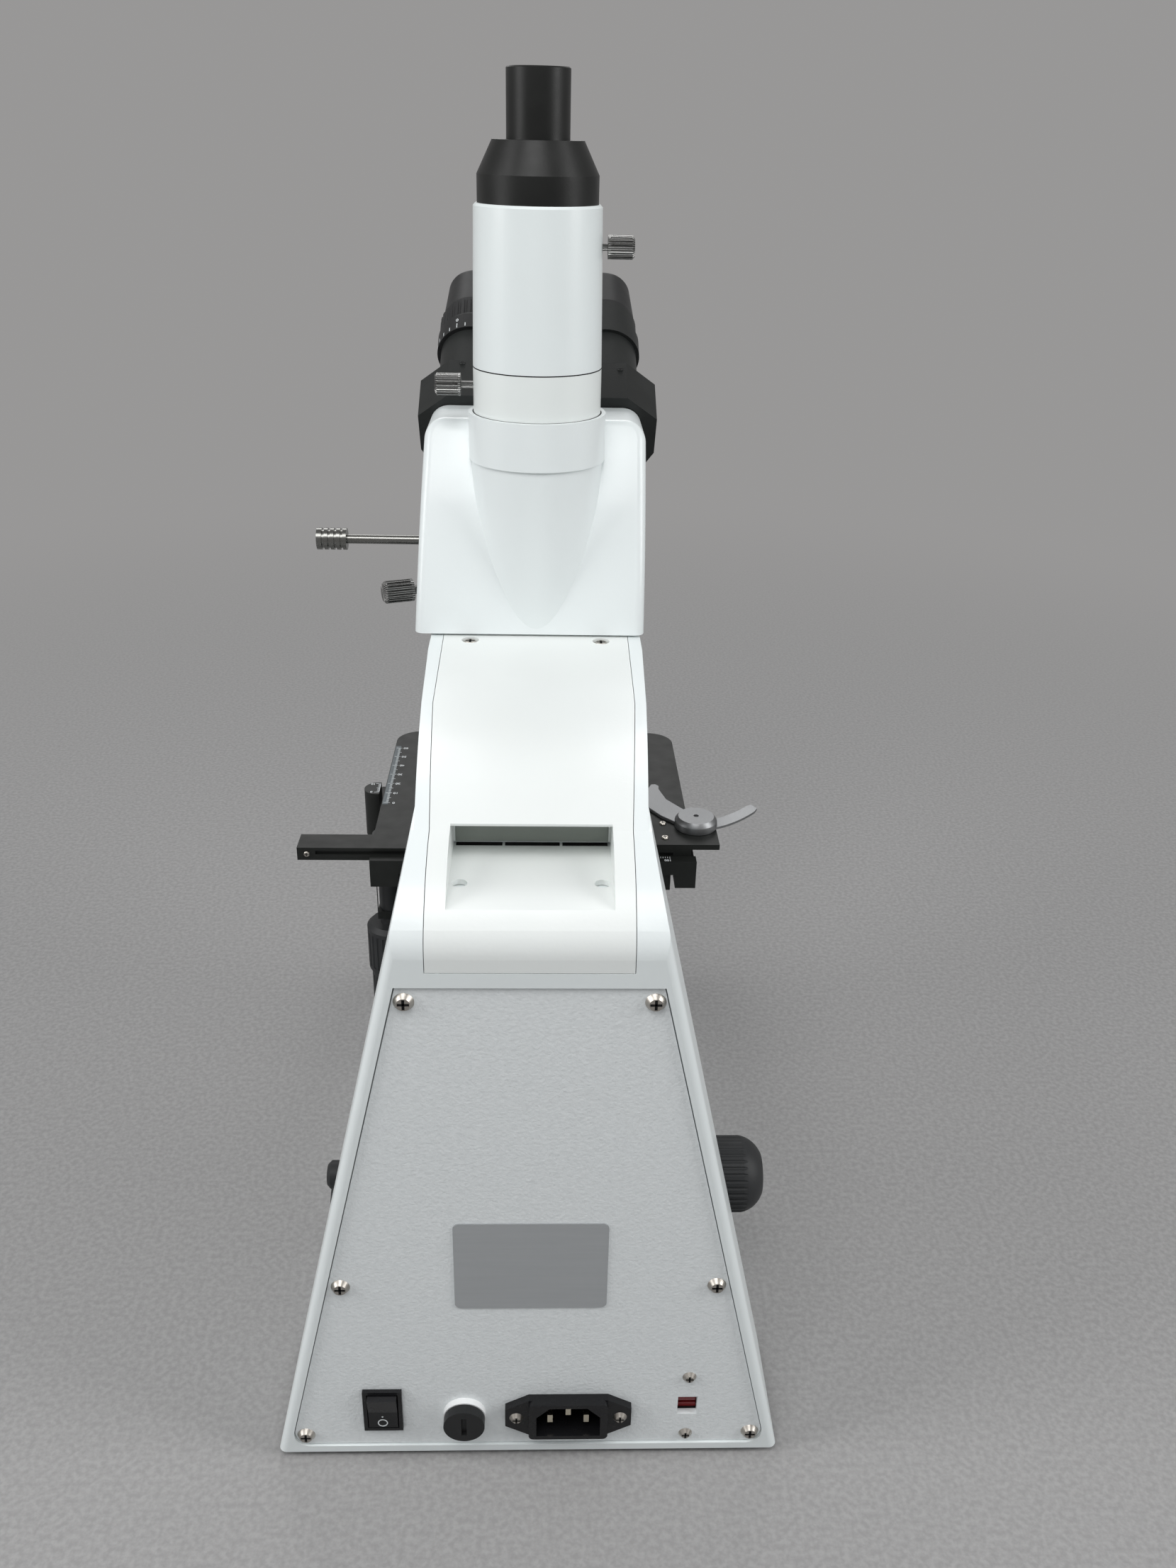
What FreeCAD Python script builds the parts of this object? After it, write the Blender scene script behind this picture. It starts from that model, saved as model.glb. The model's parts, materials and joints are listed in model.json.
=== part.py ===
import FreeCAD, Part
import math
import os
import re

import Sketcher
from FreeCAD import Placement, Rotation, Vector

# Compound microscope with a trinocular viewing head.
# Origin: the optical axis at the bench plane. +Z up, -Y towards the user, +X the user's right.

# Driving dimensions, in millimetres and degrees.
SIZES = {
    # Stand casting
    "foot_lift": 3.0,
    "rear_y": 221.5,
    "rear_half": 98.0,
    "neck_half": 40.0,
    "neck_z": 262.0,
    "flare_depth": 52.0,
    "base_top": 38.0,
    "base_front": 84.0,
    "base_front_half": 72.0,
    "base_rear_half": 88.0,
    "base_corner": 24.0,
    "casting_wall": 7.0,
    "limb_front": 100.0,
    "throat_corner": 26.0,
    "arm_bottom": 248.0,
    "arm_top": 271.0,
    "arm_half": 45.5,
    "arm_mid_half": 43.4,
    "arm_rear_half": 38.8,
    "arm_roof": 6.0,
    "shoulder_start": 121.7,
    "shoulder_top_radius": 241.0,
    "shoulder_y": 187.0,
    "shoulder_radius": 50.0,
    "blend_y": 218.4,
    "blend_z": 243.0,
    "blend_radius": 15.0,
    "shoulder_end": 233.9,
    "casting_edge": 3.0,
    # Rear panel
    "panel_top": 222.8,
    "panel_bottom": 6.6,
    "panel_top_half": 43.5,
    "panel_bottom_half": 92.6,
    "panel_thick": 2.5,
    "panel_inset": 1.0,
    "panel_gap": 0.4,
    "panel_corner": 6.0,
    "bay_depth": 38.0,
    "bay_margin": 11.0,
    "bay_low_half": 74.0,
    "bay_low_depth": 30.0,
    "bay_sill": 1.6,
    # Screws: panel and cover screws, then the smaller fitting screws
    "screw_head": 7.0,
    "screw_shank": 4.0,
    "screw_length": 9.0,
    "screw_high": 217.1,
    "screw_mid": 90.8,
    "screw_low": 11.6,
    "screw_high_half": 40.8,
    "screw_mid_half": 68.8,
    "screw_low_half": 86.8,
    "small_head": 5.4,
    "small_shank": 2.8,
    "small_length": 6.0,
    # Handle cover
    "cover_thick": 3.0,
    "cover_bottom": 229.0,
    "cover_bottom_half": 33.6,
    "cover_mid_half": 38.9,
    "cover_top_half": 40.0,
    "arm_taper_y": 42.0,
    "cover_front": 24.0,
    "cover_fit": 0.25,
    "cover_screw_half": 28.3,
    "cover_screw_length": 5.5,
    "cover_screw_y": 31.0,
    "cover_sink": 2.1,
    "grip_half": 27.0,
    "grip_high": 262.0,
    "grip_floor": 248.0,
    "grip_front": 172.0,
    "grip_edge": 184.0,
    "grip_hole": 2.6,
    "grip_hole_half": 23.5,
    "grip_hole_y": 197.5,
    "grip_wall": 2.0,
    # Electrical fittings on the rear panel
    "inlet_x": -15.1,
    "inlet_z": 23.9,
    "inlet_width": 48.7,
    "inlet_body_width": 30.5,
    "inlet_height": 19.0,
    "inlet_stand": 3.0,
    "inlet_rim": 5.2,
    "inlet_depth": 18.0,
    "socket_width": 24.6,
    "socket_height": 15.2,
    "socket_depth": 16.0,
    "socket_chamfer": 5.0,
    "inlet_pitch": 40.0,
    "pin_spacing": 7.0,
    "pin_width": 2.0,
    "pin_height": 4.0,
    "pin_length": 13.0,
    "switch_x": 56.3,
    "switch_z": 26.3,
    "switch_width": 15.0,
    "switch_height": 21.2,
    "switch_bezel": 1.6,
    "switch_wall": 1.5,
    "switch_depth": 16.0,
    "rocker_tilt": 7.0,
    "rocker_proud": 1.2,
    "fuse_x": 24.9,
    "fuse_z": 23.6,
    "fuse_ring": 16.4,
    "fuse_stand": 2.6,
    "fuse_cap": 15.8,
    "fuse_cap_stand": 6.4,
    "fuse_body": 12.5,
    "fuse_depth": 26.0,
    "selector_x": -61.4,
    "selector_z": 26.5,
    "selector_width": 7.4,
    "selector_height": 9.4,
    "selector_pitch": 31.5,
    "slider_travel": 4.0,
    # Lamp and field lens
    "foot_radius": 11.0,
    "bright_x": 84.6,
    "bright_y": 104.0,
    "bright_z": 22.0,
    "bright_radius": 8.0,
    "bright_length": 8.0,
    "bright_shaft": 3.0,
    "lens_ring": 30.0,
    "lens_ring_top": 50.0,
    "field_lens": 20.0,
    # Focus drive
    "focus_y": 137.0,
    "focus_z": 67.0,
    "gear_module": 1.0,
    "pinion_teeth": 12.0,
    "backlash": 0.35,
    "coarse_shaft": 4.5,
    "fine_shaft": 2.5,
    "running": 0.05,
    "coarse_knob": 26.0,
    "coarse_inner": 47.0,
    "coarse_outer": 69.0,
    "fine_knob": 16.0,
    "fine_reach": 98.5,
    "fine_cap": 6.0,
    "fine_cap_reach": 87.0,
    "tension_ring": 21.0,
    "tension_gap": 3.6,
    "boss_radius": 15.0,
    "knob_gap": 0.4,
    "slot_half": 9.0,
    "rack_half": 5.0,
    "rack_teeth": 18,
    "rack_shift": 3,
    "coarse_ribs": 30,
    "fine_ribs": 36,
    "knob_ribs": 24,
    # Stage
    "stage_top": 186.5,
    "stage_plate": 9.0,
    "stage_gap": 0.4,
    "stage_left": 70.0,
    "stage_right": 71.5,
    "stage_front": 60.0,
    "stage_rear": 53.0,
    "stage_corner": 12.0,
    "under_plate": 8.0,
    "under_half": 60.0,
    "under_right": 50.0,
    "under_front": 48.0,
    "under_rear": 70.0,
    "stage_slot_half": 17.0,
    "stage_slot_front": 24.6,
    "stage_slot_rear": 53.5,
    "stage_hole": 31.0,
    "vernier_x": 75.0,
    "vernier_y": 7.4,
    "vernier_front": 22.0,
    "vernier_radius": 6.2,
    "vernier_low": 163.5,
    "vernier_gap": 2.2,
    "rail_height": 6.1,
    "rail_width": 12.3,
    "rail_play": 0.3,
    "rail_left": 69.0,
    "rail_right": 103.5,
    "lip_width": 5.5,
    "ledge_depth": 6.6,
    "drive_x": 66.0,
    "drive_y": 46.0,
    "drive_pinion": 7.5,
    "drive_shaft": 3.0,
    "drive_tube": 5.5,
    "x_knob": 10.6,
    "y_knob": 11.8,
    "knob_top": 138.0,
    "y_knob_height": 24.0,
    "x_knob_height": 22.0,
    "disc_x": -72.4,
    "disc_y": 48.0,
    "disc_radius": 9.5,
    "disc_height": 5.0,
    "holder_thick": 2.5,
    "finger_bend": 30.0,
    "slide_long": 76.0,
    "slide_wide": 26.0,
    "slide_x": -16.0,
    "slide_y": 23.0,
    # Focus carrier
    "carrier_half": 24.0,
    "carrier_bottom": 112.0,
    "carrier_depth": 14.0,
    "carrier_gap": 0.3,
    "gib_width": 10.0,
    "gib_depth": 6.0,
    "rail_low": 84.0,
    "rail_high": 205.0,
    "slide_fit": 0.08,
    "bracket_thick": 8.0,
    "bracket_half": 46.0,
    "bracket_front": 24.0,
    # Condenser
    "condenser_body": 21.0,
    "condenser_bottom": 122.0,
    "condenser_step": 158.0,
    "condenser_lens": 12.0,
    "condenser_top": 184.5,
    "condenser_ring_low": 142.0,
    "condenser_ring_high": 152.0,
    "condenser_ring": 27.0,
    "filter_radius": 19.0,
    "filter_pivot": 27.0,
    "condenser_knob": 9.0,
    "pivot_pin": 2.0,
    "iris_ball": 2.5,
    # Nosepiece
    "seat_z": 238.0,
    "turret_tilt": 12.0,
    "turret_pitch": 24.0,
    "turret_radius": 35.0,
    "turret_height": 12.0,
    "mount_radius": 26.0,
    "race_gap": 0.3,
    "objective_thread": 10.0,
    "pivot_radius": 6.0,
    "turret_ribs": 40,
    "objective_a": 28.0,
    "objective_b": 38.0,
    "objective_c": 44.2,
    "objective_d": 44.5,
    # Viewing head
    "head_bottom": 272.0,
    "head_top": 357.0,
    "head_right_low": 52.7,
    "head_right_top": 48.3,
    "head_left_low": 47.3,
    "head_left_top": 47.2,
    "head_rear": 26.3,
    "head_rear_top": -10.0,
    "head_rear_radius": 200.0,
    "head_front": 58.0,
    "head_corner": 9.0,
    "head_edge": 4.0,
    "head_face_low": 300.0,
    "tube_tilt": 30.0,
    "hinge_y": -58.0,
    "hinge_z": 324.8,
    "dovetail_radius": 21.0,
    "dovetail_depth": 3.2,
    "trunk_radius": 28.0,
    "trunk_low": 25.8,
    "collar_radius": 29.0,
    "collar_low": 343.0,
    "collar_top": 362.5,
    "sleeve_radius": 26.8,
    "sleeve_spigot": 24.0,
    "sleeve_bore": 21.0,
    "sleeve_top": 380.9,
    "tube_top_radius": 25.8,
    "tube_top": 443.2,
    "tube_bore": 20.0,
    "spigot_depth": 12.0,
    "adapter_spigot": 28.0,
    "adapter_low": 24.2,
    "adapter_step": 453.6,
    "adapter_shoulder": 465.8,
    "adapter_neck": 18.15,
    "adapter_tube": 12.5,
    "adapter_bore": 11.6,
    "adapter_top": 490.9,
    "rod_z": 306.0,
    "rod_radius": 2.0,
    "rod_in": 23.0,
    "rod_out": 83.3,
    "rod_end": 96.3,
    "rod_knob": 4.75,
    "lock_z": 287.0,
    "lock_y": 12.0,
    "lock_in": 54.2,
    "lock_out": 67.5,
    "lock_radius": 4.9,
    "lock_angle": 20.0,
    "thumb_radius": 4.6,
    "thumb_length": 10.7,
    "thumb_shank": 1.5,
    "thumb_low_z": 373.0,
    "thumb_low_x": 32.0,
    "thumb_high_z": 427.6,
    "thumb_high_x": 28.2,
    # Eyepiece wings
    "wing_x": 32.0,
    "wing_v": 20.5,
    "wing_reach": 22.5,
    "wing_inner": 10.0,
    "hub_radius": 20.0,
    "hub_pin": 6.0,
    "wing_depth": 24.0,
    "wing_split": 12.1,
    "wing_play": 0.3,
    "eye_tube": 15.2,
    "eye_tube_end": 77.0,
    "barrel_radius": 11.6,
    "barrel_length": 22.0,
    "eye_cup": 15.1,
    "eye_cup_end": 13.4,
    "eye_end": 105.4,
    "diopter_low": 55.0,
    "diopter_mid": 65.0,
    "diopter_high": 76.7,
    "diopter_radius": 17.0,
    "diopter_grip": 16.4,
    "diopter_ribs": 32,
}

doc = FreeCAD.newDocument("Microscope")
sheet = doc.addObject("Spreadsheet::Sheet", "Dims")
for row, (alias, size) in enumerate(SIZES.items(), start=1):
    sheet.set(f"A{row}", alias)
    sheet.set(f"B{row}", str(size))
    sheet.setAlias(f"B{row}", alias)
doc.recompute()

NODES = {}


# Expressions
def cells(expression):
    """The expression with every dimension's name pointing at its cell."""
    def to_cell(match):
        word = match.group(0)
        return "Dims." + word if word in SIZES else word
    return re.sub(r"[a-z][a-z_0-9]*", to_cell, str(expression))


def value(expression):
    """What the expression comes to now."""
    return float(sheet.evalExpression(cells(expression)))


def bind(item, **properties):
    for name, expression in properties.items():
        item.setExpression(name, cells(expression))
    return item


def shift(item, x=0, y=0, z=0):
    """Binds the item's place."""
    for axis, expression in zip("xyz", (x, y, z)):
        if expression != 0:
            item.setExpression(f"Placement.Base.{axis}", cells(expression))
    return item


TURNS = {
    "Z": Rotation(),
    "X": Rotation(Vector(0, 1, 0), 90),
    "Y": Rotation(Vector(1, 0, 0), -90),
    "-X": Rotation(Vector(0, 1, 0), -90),
    "-Y": Rotation(Vector(1, 0, 0), 90),
    "-Z": Rotation(Vector(1, 0, 0), 180),
}


# Part primitives
def cylinder(name, radius, length, at=(0, 0, 0), along="Z"):
    item = doc.addObject("Part::Cylinder", name)
    bind(item, Radius=radius, Height=length)
    item.Placement = Placement(Vector(), TURNS[along])
    return shift(item, *at)


def cone(name, radius_low, radius_high, length, at=(0, 0, 0), along="Z"):
    item = doc.addObject("Part::Cone", name)
    bind(item, Radius1=radius_low, Radius2=radius_high, Height=length)
    item.Placement = Placement(Vector(), TURNS[along])
    return shift(item, *at)


def block(name, low, high):
    """A box from its low corner to its high corner."""
    item = doc.addObject("Part::Box", name)
    spans = [f"({b}) - ({a})" for a, b in zip(low, high)]
    bind(item, Length=spans[0], Width=spans[1], Height=spans[2])
    return shift(item, *low)


def fuse(name, *items):
    joined = doc.addObject("Part::MultiFuse", name)
    joined.Shapes = list(items)
    joined.Refine = True
    return joined


def cut(name, base, *tools):
    tool = tools[0] if len(tools) == 1 else fuse(name + "_tools", *tools)
    item = doc.addObject("Part::Cut", name)
    item.Base = base
    item.Tool = tool
    return item


def common(name, first, second):
    item = doc.addObject("Part::Common", name)
    item.Base = first
    item.Tool = second
    return item


def group(name, items):
    """Separate solids in one node."""
    item = doc.addObject("Part::Compound", name)
    item.Links = list(items)
    return item


def node(label, item):
    """Keeps the item as a finished piece of the microscope."""
    item.Label = label
    NODES[label] = item
    return item


# Sketches and PartDesign features
def new_body(name):
    return doc.addObject("PartDesign::Body", name)


def new_sketch(body, plane, offset=0):
    sketch = body.newObject("Sketcher::SketchObject", body.Name + "_sketch")
    planes = [item for item in body.Origin.OriginFeatures if item.Role == plane + "_Plane"]
    sketch.AttachmentSupport = [(planes[0], "")]
    sketch.MapMode = "FlatFace"
    if offset != 0:
        sketch.setExpression("AttachmentOffset.Base.z", cells(offset))
    return sketch


def pin_point(sketch, geo, end, u, v):
    """Holds a point of the sketch at a place given by two expressions."""
    for kind, axis, expression in (("DistanceX", -2, u), ("DistanceY", -1, v)):
        if expression == 0:
            sketch.addConstraint(Sketcher.Constraint("PointOnObject", geo, end, axis))
            continue
        constraint = Sketcher.Constraint(kind, -1, 1, geo, end, value(expression))
        index = sketch.addConstraint(constraint)
        sketch.setExpression(f"Constraints[{index}]", cells(expression))


def arc_between(start, end, radius):
    """Arc from start to end; a positive radius bulges to the right of the way from start to end."""
    chord = end - start
    half = chord.Length / 2
    size = abs(radius)
    side = Vector(chord.y, -chord.x, 0).normalize() * math.copysign(1, radius)
    rise = size - math.sqrt(size * size - half * half)
    middle = (start + end) / 2 + side * rise
    return Part.Arc(start, middle, end)


def outline(sketch, corners):
    """Closed outline. A corner is (u, v), or (u, v, radius) where an arc runs on to the next corner."""
    points = [Vector(value(c[0]), value(c[1]), 0) for c in corners]
    count = len(corners)
    first = sketch.GeometryCount
    starts = []
    ends = []
    for index, corner in enumerate(corners):
        start = points[index]
        end = points[(index + 1) % count]
        if len(corner) == 2:
            sketch.addGeometry(Part.LineSegment(start, end))
            starts.append(1)
            ends.append(2)
            continue
        radius = value(corner[2])
        sketch.addGeometry(arc_between(start, end, radius))
        starts.append(1 if radius > 0 else 2)
        ends.append(2 if radius > 0 else 1)
    for index in range(count):
        following = (index + 1) % count
        here = (first + index, ends[index], first + following, starts[following])
        sketch.addConstraint(Sketcher.Constraint("Coincident", *here))
    for index, corner in enumerate(corners):
        pin_point(sketch, first + index, starts[index], corner[0], corner[1])
        if len(corner) == 3:
            radius = abs(value(corner[2]))
            number = sketch.addConstraint(Sketcher.Constraint("Radius", first + index, radius))
            sketch.setExpression(f"Constraints[{number}]", cells(f"abs({corner[2]})"))


def circle(sketch, u, v, radius):
    centre = Vector(value(u), value(v), 0)
    index = sketch.addGeometry(Part.Circle(centre, Vector(0, 0, 1), value(radius)))
    pin_point(sketch, index, 3, u, v)
    number = sketch.addConstraint(Sketcher.Constraint("Radius", index, value(radius)))
    sketch.setExpression(f"Constraints[{number}]", cells(radius))


def extrude(body, kind, sketch, length, reverse=False, symmetric=False):
    feature = body.newObject("PartDesign::" + kind, body.Name + "_" + kind.lower())
    feature.Profile = sketch
    feature.Reversed = reverse
    if symmetric:
        feature.SideType = "Symmetric"
    bind(feature, Length=length)
    sketch.Visibility = False
    return feature


def pad(body, plane, corners, length, offset=0, **how):
    sketch = new_sketch(body, plane, offset)
    outline(sketch, corners)
    return extrude(body, "Pad", sketch, length, **how)


def pocket(body, plane, corners, length, offset=0, **how):
    sketch = new_sketch(body, plane, offset)
    outline(sketch, corners)
    return extrude(body, "Pocket", sketch, length, **how)


def round_pad(body, plane, centre, radius, length, offset=0, **how):
    sketch = new_sketch(body, plane, offset)
    circle(sketch, *centre, radius)
    return extrude(body, "Pad", sketch, length, **how)


def round_pocket(body, plane, centre, radius, length, offset=0, **how):
    sketch = new_sketch(body, plane, offset)
    circle(sketch, *centre, radius)
    return extrude(body, "Pocket", sketch, length, **how)


def revolve(name, corners):
    """A turned piece: corners are radius and height, about the piece's own Z axis."""
    body = new_body(name)
    sketch = new_sketch(body, "XZ")
    outline(sketch, corners)
    feature = body.newObject("PartDesign::Revolution", name + "_revolution")
    feature.Profile = sketch
    feature.ReferenceAxis = (sketch, ["V_Axis"])
    feature.Angle = 360
    sketch.Visibility = False
    return body


def edges_where(feature, wanted):
    doc.recompute()
    names = []
    for index, edge in enumerate(feature.Shape.Edges, start=1):
        if wanted(edge):
            names.append(f"Edge{index}")
    return names


def dress(body, kind, feature, wanted, size):
    """A fillet or chamfer on the edges that are wanted."""
    item = body.newObject("PartDesign::" + kind, body.Name + "_" + kind.lower())
    item.Base = (feature, edges_where(feature, wanted))
    bind(item, **{"Radius" if kind == "Fillet" else "Size": size})
    return item


def runs_along(axis):
    """Tests that an edge is straight and runs along one axis."""
    def test(edge):
        if len(edge.Vertexes) != 2 or edge.Curve.TypeId != "Part::GeomLine":
            return False
        way = edge.Vertexes[1].Point - edge.Vertexes[0].Point
        return abs(getattr(way.normalize(), axis)) > 0.999
    return test


def middle_of(edge):
    return edge.valueAt((edge.FirstParameter + edge.LastParameter) / 2)


def grooves(body, feature, count, radius, groove, low, high):
    """Equal round-bottomed grooves along a turned piece."""
    sketch = new_sketch(body, "XY", low)
    circle(sketch, radius, 0, groove)
    first = extrude(body, "Pocket", sketch, f"({high}) - ({low})", reverse=True)
    pattern = body.newObject("PartDesign::PolarPattern", body.Name + "_pattern")
    pattern.Originals = [first]
    axes = [item for item in body.Origin.OriginFeatures if item.Role == "Z_Axis"]
    pattern.Axis = (axes[0], [""])
    pattern.Angle = 360
    bind(pattern, Occurrences=count)
    body.Tip = pattern
    return pattern


def aim(item, rotation, at=(0, 0, 0)):
    item.Placement = Placement(Vector(), rotation)
    return shift(item, *at)


# Stand
def shoulder(lift=0):
    """Corners of the curved shoulder seen from the side, set in by an expression."""
    return [
        ("shoulder_start", f"arm_top - {lift}", f"-(shoulder_top_radius - {lift})"),
        (f"shoulder_y - 0.167 * {lift}", f"neck_z - 0.986 * {lift}", f"-(shoulder_radius - {lift})"),
        (f"blend_y - 0.795 * {lift}", f"blend_z - 0.606 * {lift}", f"-(blend_radius - {lift})"),
        (f"rear_y - {lift}", "shoulder_end"),
    ]


def under_shoulder(name, half, lift=0, front="cover_front", low="shoulder_end - 60"):
    """The space below the shoulder curve, as wide as twice the half width."""
    body = new_body(name)
    corners = [(front, low), (front, f"arm_top - {lift}")] + shoulder(lift)
    corners.append((f"rear_y - {lift}", low))
    pad(body, "YZ", corners, f"2 * ({half})", symmetric=True)
    return body


def cover_prism(name, fit=0):
    """The handle cover's plan outline as an upright prism."""
    body = new_body(name)
    edge = [
        (f"cover_top_half + {fit}", f"cover_front - {fit}"),
        (f"cover_mid_half + {fit}", "limb_front"),
        (f"cover_bottom_half + {fit}", "shoulder_y"),
        (f"cover_bottom_half + {fit}", "rear_y + 1"),
    ]
    mirrored = [(f"-({x})", y) for x, y in reversed(edge)]
    base = pad(body, "XY", edge + mirrored, f"arm_top + 10 - cover_bottom + {fit}",
               f"cover_bottom - {fit}")
    return body


def grip_box(name, fit=0):
    """Outside of the finger pocket behind the handle opening."""
    return block(
        name,
        (f"-grip_half - grip_wall - {fit}", f"grip_front - grip_wall - {fit}",
         f"grip_floor - grip_wall - {fit}"),
        (f"grip_half + grip_wall + {fit}", "rear_y", f"grip_high + grip_wall + {fit}"),
    )


def cover_space(name, fit=0):
    """What the cover fills, or with a fit what the casting leaves free for it."""
    skin = cut(
        name + "_skin",
        common(
            name + "_plan",
            cover_prism(name + "_prism", fit),
            under_shoulder(name + "_outer", "cover_top_half + 2"),
        ),
        under_shoulder(name + "_inner", "cover_top_half + 4", f"(cover_thick + {fit})", front="0"),
    )
    grip = common(name + "_grip", grip_box(name + "_box", fit),
                  under_shoulder(name + "_below", "grip_half + 6"))
    return fuse(name, skin, grip)


def trapezoid(low_half, low, high_half, high):
    return [
        (f"-({low_half})", low),
        (low_half, low),
        (high_half, high),
        (f"-({high_half})", high),
    ]


BEHIND = "-rear_y"


def panel_holes(name, radius, length, back):
    """A cylinder at each panel screw, running forward from a given depth."""
    places = (
        ("screw_high_half", "screw_high"),
        ("screw_mid_half", "screw_mid"),
        ("screw_low_half", "screw_low"),
    )
    holes = []
    for half, height in places:
        for side in ("", "-"):
            at = (f"{side}{half}", back, height)
            holes.append(cylinder(name, radius, length, at, "-Y"))
    return holes


def stand_casting():
    body = new_body("casting_body")
    profile = [
        ("limb_front", "base_top - 1"),
        ("limb_front", "arm_bottom - throat_corner", "throat_corner"),
        ("limb_front - throat_corner", "arm_bottom"),
        (0, "arm_bottom"),
        (0, "arm_top"),
    ]
    profile += shoulder()
    profile.append(("rear_y", "base_top - 1"))
    pad(body, "YZ", profile, "2 * arm_half", symmetric=True)
    for side in ("", "-"):
        sliver = [
            (f"{side}arm_half", 0),
            (f"{side}(arm_half + 3)", 0),
            (f"{side}(arm_half + 3)", "rear_y + 1"),
            (f"{side}arm_rear_half", "rear_y + 1"),
            (f"{side}arm_rear_half", "shoulder_y"),
            (f"{side}arm_mid_half", "limb_front"),
            (f"{side}arm_half", "arm_taper_y"),
        ]
        pocket(body, "XY", sliver, "arm_top + 10", reverse=True)
    round_pad(body, "XY", (0, 0), "arm_half", "arm_top - arm_bottom", "arm_bottom")
    base = [
        ("-base_front_half", "-base_front"),
        ("base_front_half", "-base_front"),
        ("base_rear_half", "rear_y - flare_depth + 1"),
        ("-base_rear_half", "rear_y - flare_depth + 1"),
    ]
    foot = pad(body, "XY", base, "base_top - foot_lift", "foot_lift")
    front = -value("base_front")
    upright = runs_along("z")
    foot = dress(body, "Fillet", foot, lambda e: upright(e) and abs(middle_of(e).y - front) < 0.01,
                 "base_corner")
    flare = pad(body, "XZ", trapezoid("rear_half", "foot_lift", "neck_half", "neck_z"), "flare_depth",
                BEHIND)
    rear = value("rear_y")

    def slanted_rear_edge(edge):
        ends = [v.Point for v in edge.Vertexes]
        at_rear = all(abs(point.y - rear) < 0.01 for point in ends)
        return at_rear and abs(ends[0].z - ends[-1].z) > 100 and abs(ends[0].x - ends[-1].x) > 20
    dress(body, "Fillet", flare, slanted_rear_edge, "casting_edge")
    beyond = [
        ("shoulder_y", "neck_z", "-shoulder_radius"),
        ("blend_y", "blend_z", "-blend_radius"),
        ("rear_y", "shoulder_end"),
        ("rear_y + 5", "shoulder_end"),
        ("rear_y + 5", "neck_z + 5"),
        ("shoulder_y", "neck_z + 5"),
    ]
    pocket(body, "YZ", beyond, "4 * neck_half", symmetric=True)
    recess = trapezoid(
        "panel_bottom_half + panel_gap", "panel_bottom - panel_gap",
        "panel_top_half + panel_gap", "panel_top + panel_gap",
    )
    cutout = pocket(body, "XZ", recess, "panel_inset + panel_thick", BEHIND, reverse=True)
    crosswise = runs_along("y")
    low = value("panel_bottom - panel_gap")
    dress(
        body, "Fillet", cutout,
        lambda e: crosswise(e) and abs(middle_of(e).z - low) < 0.01 and middle_of(e).y > rear - 6,
        "panel_corner + panel_gap",
    )
    bay = trapezoid(
        "panel_bottom_half - bay_margin", "panel_bottom + bay_margin",
        "panel_top_half - bay_margin", "panel_top - bay_margin",
    )
    pocket(body, "XZ", bay, "bay_depth", BEHIND, reverse=True)
    fittings = trapezoid("bay_low_half", "panel_bottom + bay_sill", "bay_low_half",
                         "panel_bottom + bay_margin + 1")
    pocket(body, "XZ", fittings, "bay_low_depth", BEHIND, reverse=True)
    slot = [
        ("limb_front - 1", "focus_z - 45"),
        ("focus_y + 12", "focus_z - 45"),
        ("focus_y + 12", "arm_bottom - throat_corner - 14"),
        ("limb_front - 1", "arm_bottom - throat_corner - 14"),
    ]
    pocket(body, "YZ", slot, "2 * slot_half", symmetric=True)
    cavity = [
        ("-base_front_half + 14", "-base_front + 12"),
        ("base_front_half - 14", "-base_front + 12"),
        ("base_front_half - 14", "limb_front - 12"),
        ("-base_front_half + 14", "limb_front - 12"),
    ]
    pocket(body, "XY", cavity, "base_top - casting_wall - foot_lift", "foot_lift", reverse=True)
    plate = [(x.replace("14", "10"), y.replace("12", "8")) for x, y in cavity]
    pocket(body, "XY", plate, 2, "foot_lift", reverse=True)
    round_pocket(body, "XY", (0, 0), "field_lens / 2 + 2.2", "base_top", 0, reverse=True)
    round_pocket(body, "XY", (0, "turret_pitch - 4"), "turret_radius + 5.5",
                 "arm_top - arm_roof - arm_bottom + 1",
                 "arm_bottom - 1", reverse=True)
    round_pocket(body, "XY", (0, 0), "dovetail_radius + 0.3", "dovetail_depth + 1",
                 "arm_top - dovetail_depth - 0.4",
                 reverse=True)
    round_pocket(body, "XY", (0, 0), 13, "arm_top", "arm_bottom - 1", reverse=True)
    bosses = []
    for side in ("", "-"):
        reach = "coarse_inner - tension_gap" if side == "" else "coarse_inner - knob_gap"
        at = (0, "focus_y", "focus_z")
        bosses.append(cylinder("boss", "boss_radius", reach, at, "X" if side == "" else "-X"))
    whole = fuse("casting_whole", body, *bosses)
    slot_space = block(
        "slot_space",
        ("-slot_half", "limb_front - 1", "focus_z - 20"),
        ("slot_half", "focus_y + 12", "focus_z + 20"),
    )
    bore = cylinder("shaft_bore", "coarse_shaft + running", "2 * coarse_outer",
                    ("-coarse_outer", "focus_y", "focus_z"), "X")
    holes = panel_holes("panel_hole", "screw_shank / 2 + running", "screw_length + 1",
                        "rear_y - panel_inset")
    for side in ("", "-"):
        at = (f"{side}cover_screw_half", "cover_screw_y", "arm_top + 1")
        holes.append(cylinder("cover_hole", "screw_shank / 2 + running", "cover_screw_length + 5", at,
                              "-Z"))
    knob_bore = cylinder("brightness_bore", "bright_shaft + running", 30,
                         ("bright_x - 20", "bright_y", "bright_z"), "X")
    node("stand_casting",
         cut("casting", whole, cover_space("cover_recess", "cover_fit"), slot_space, bore, knob_bore,
             *holes))


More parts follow.
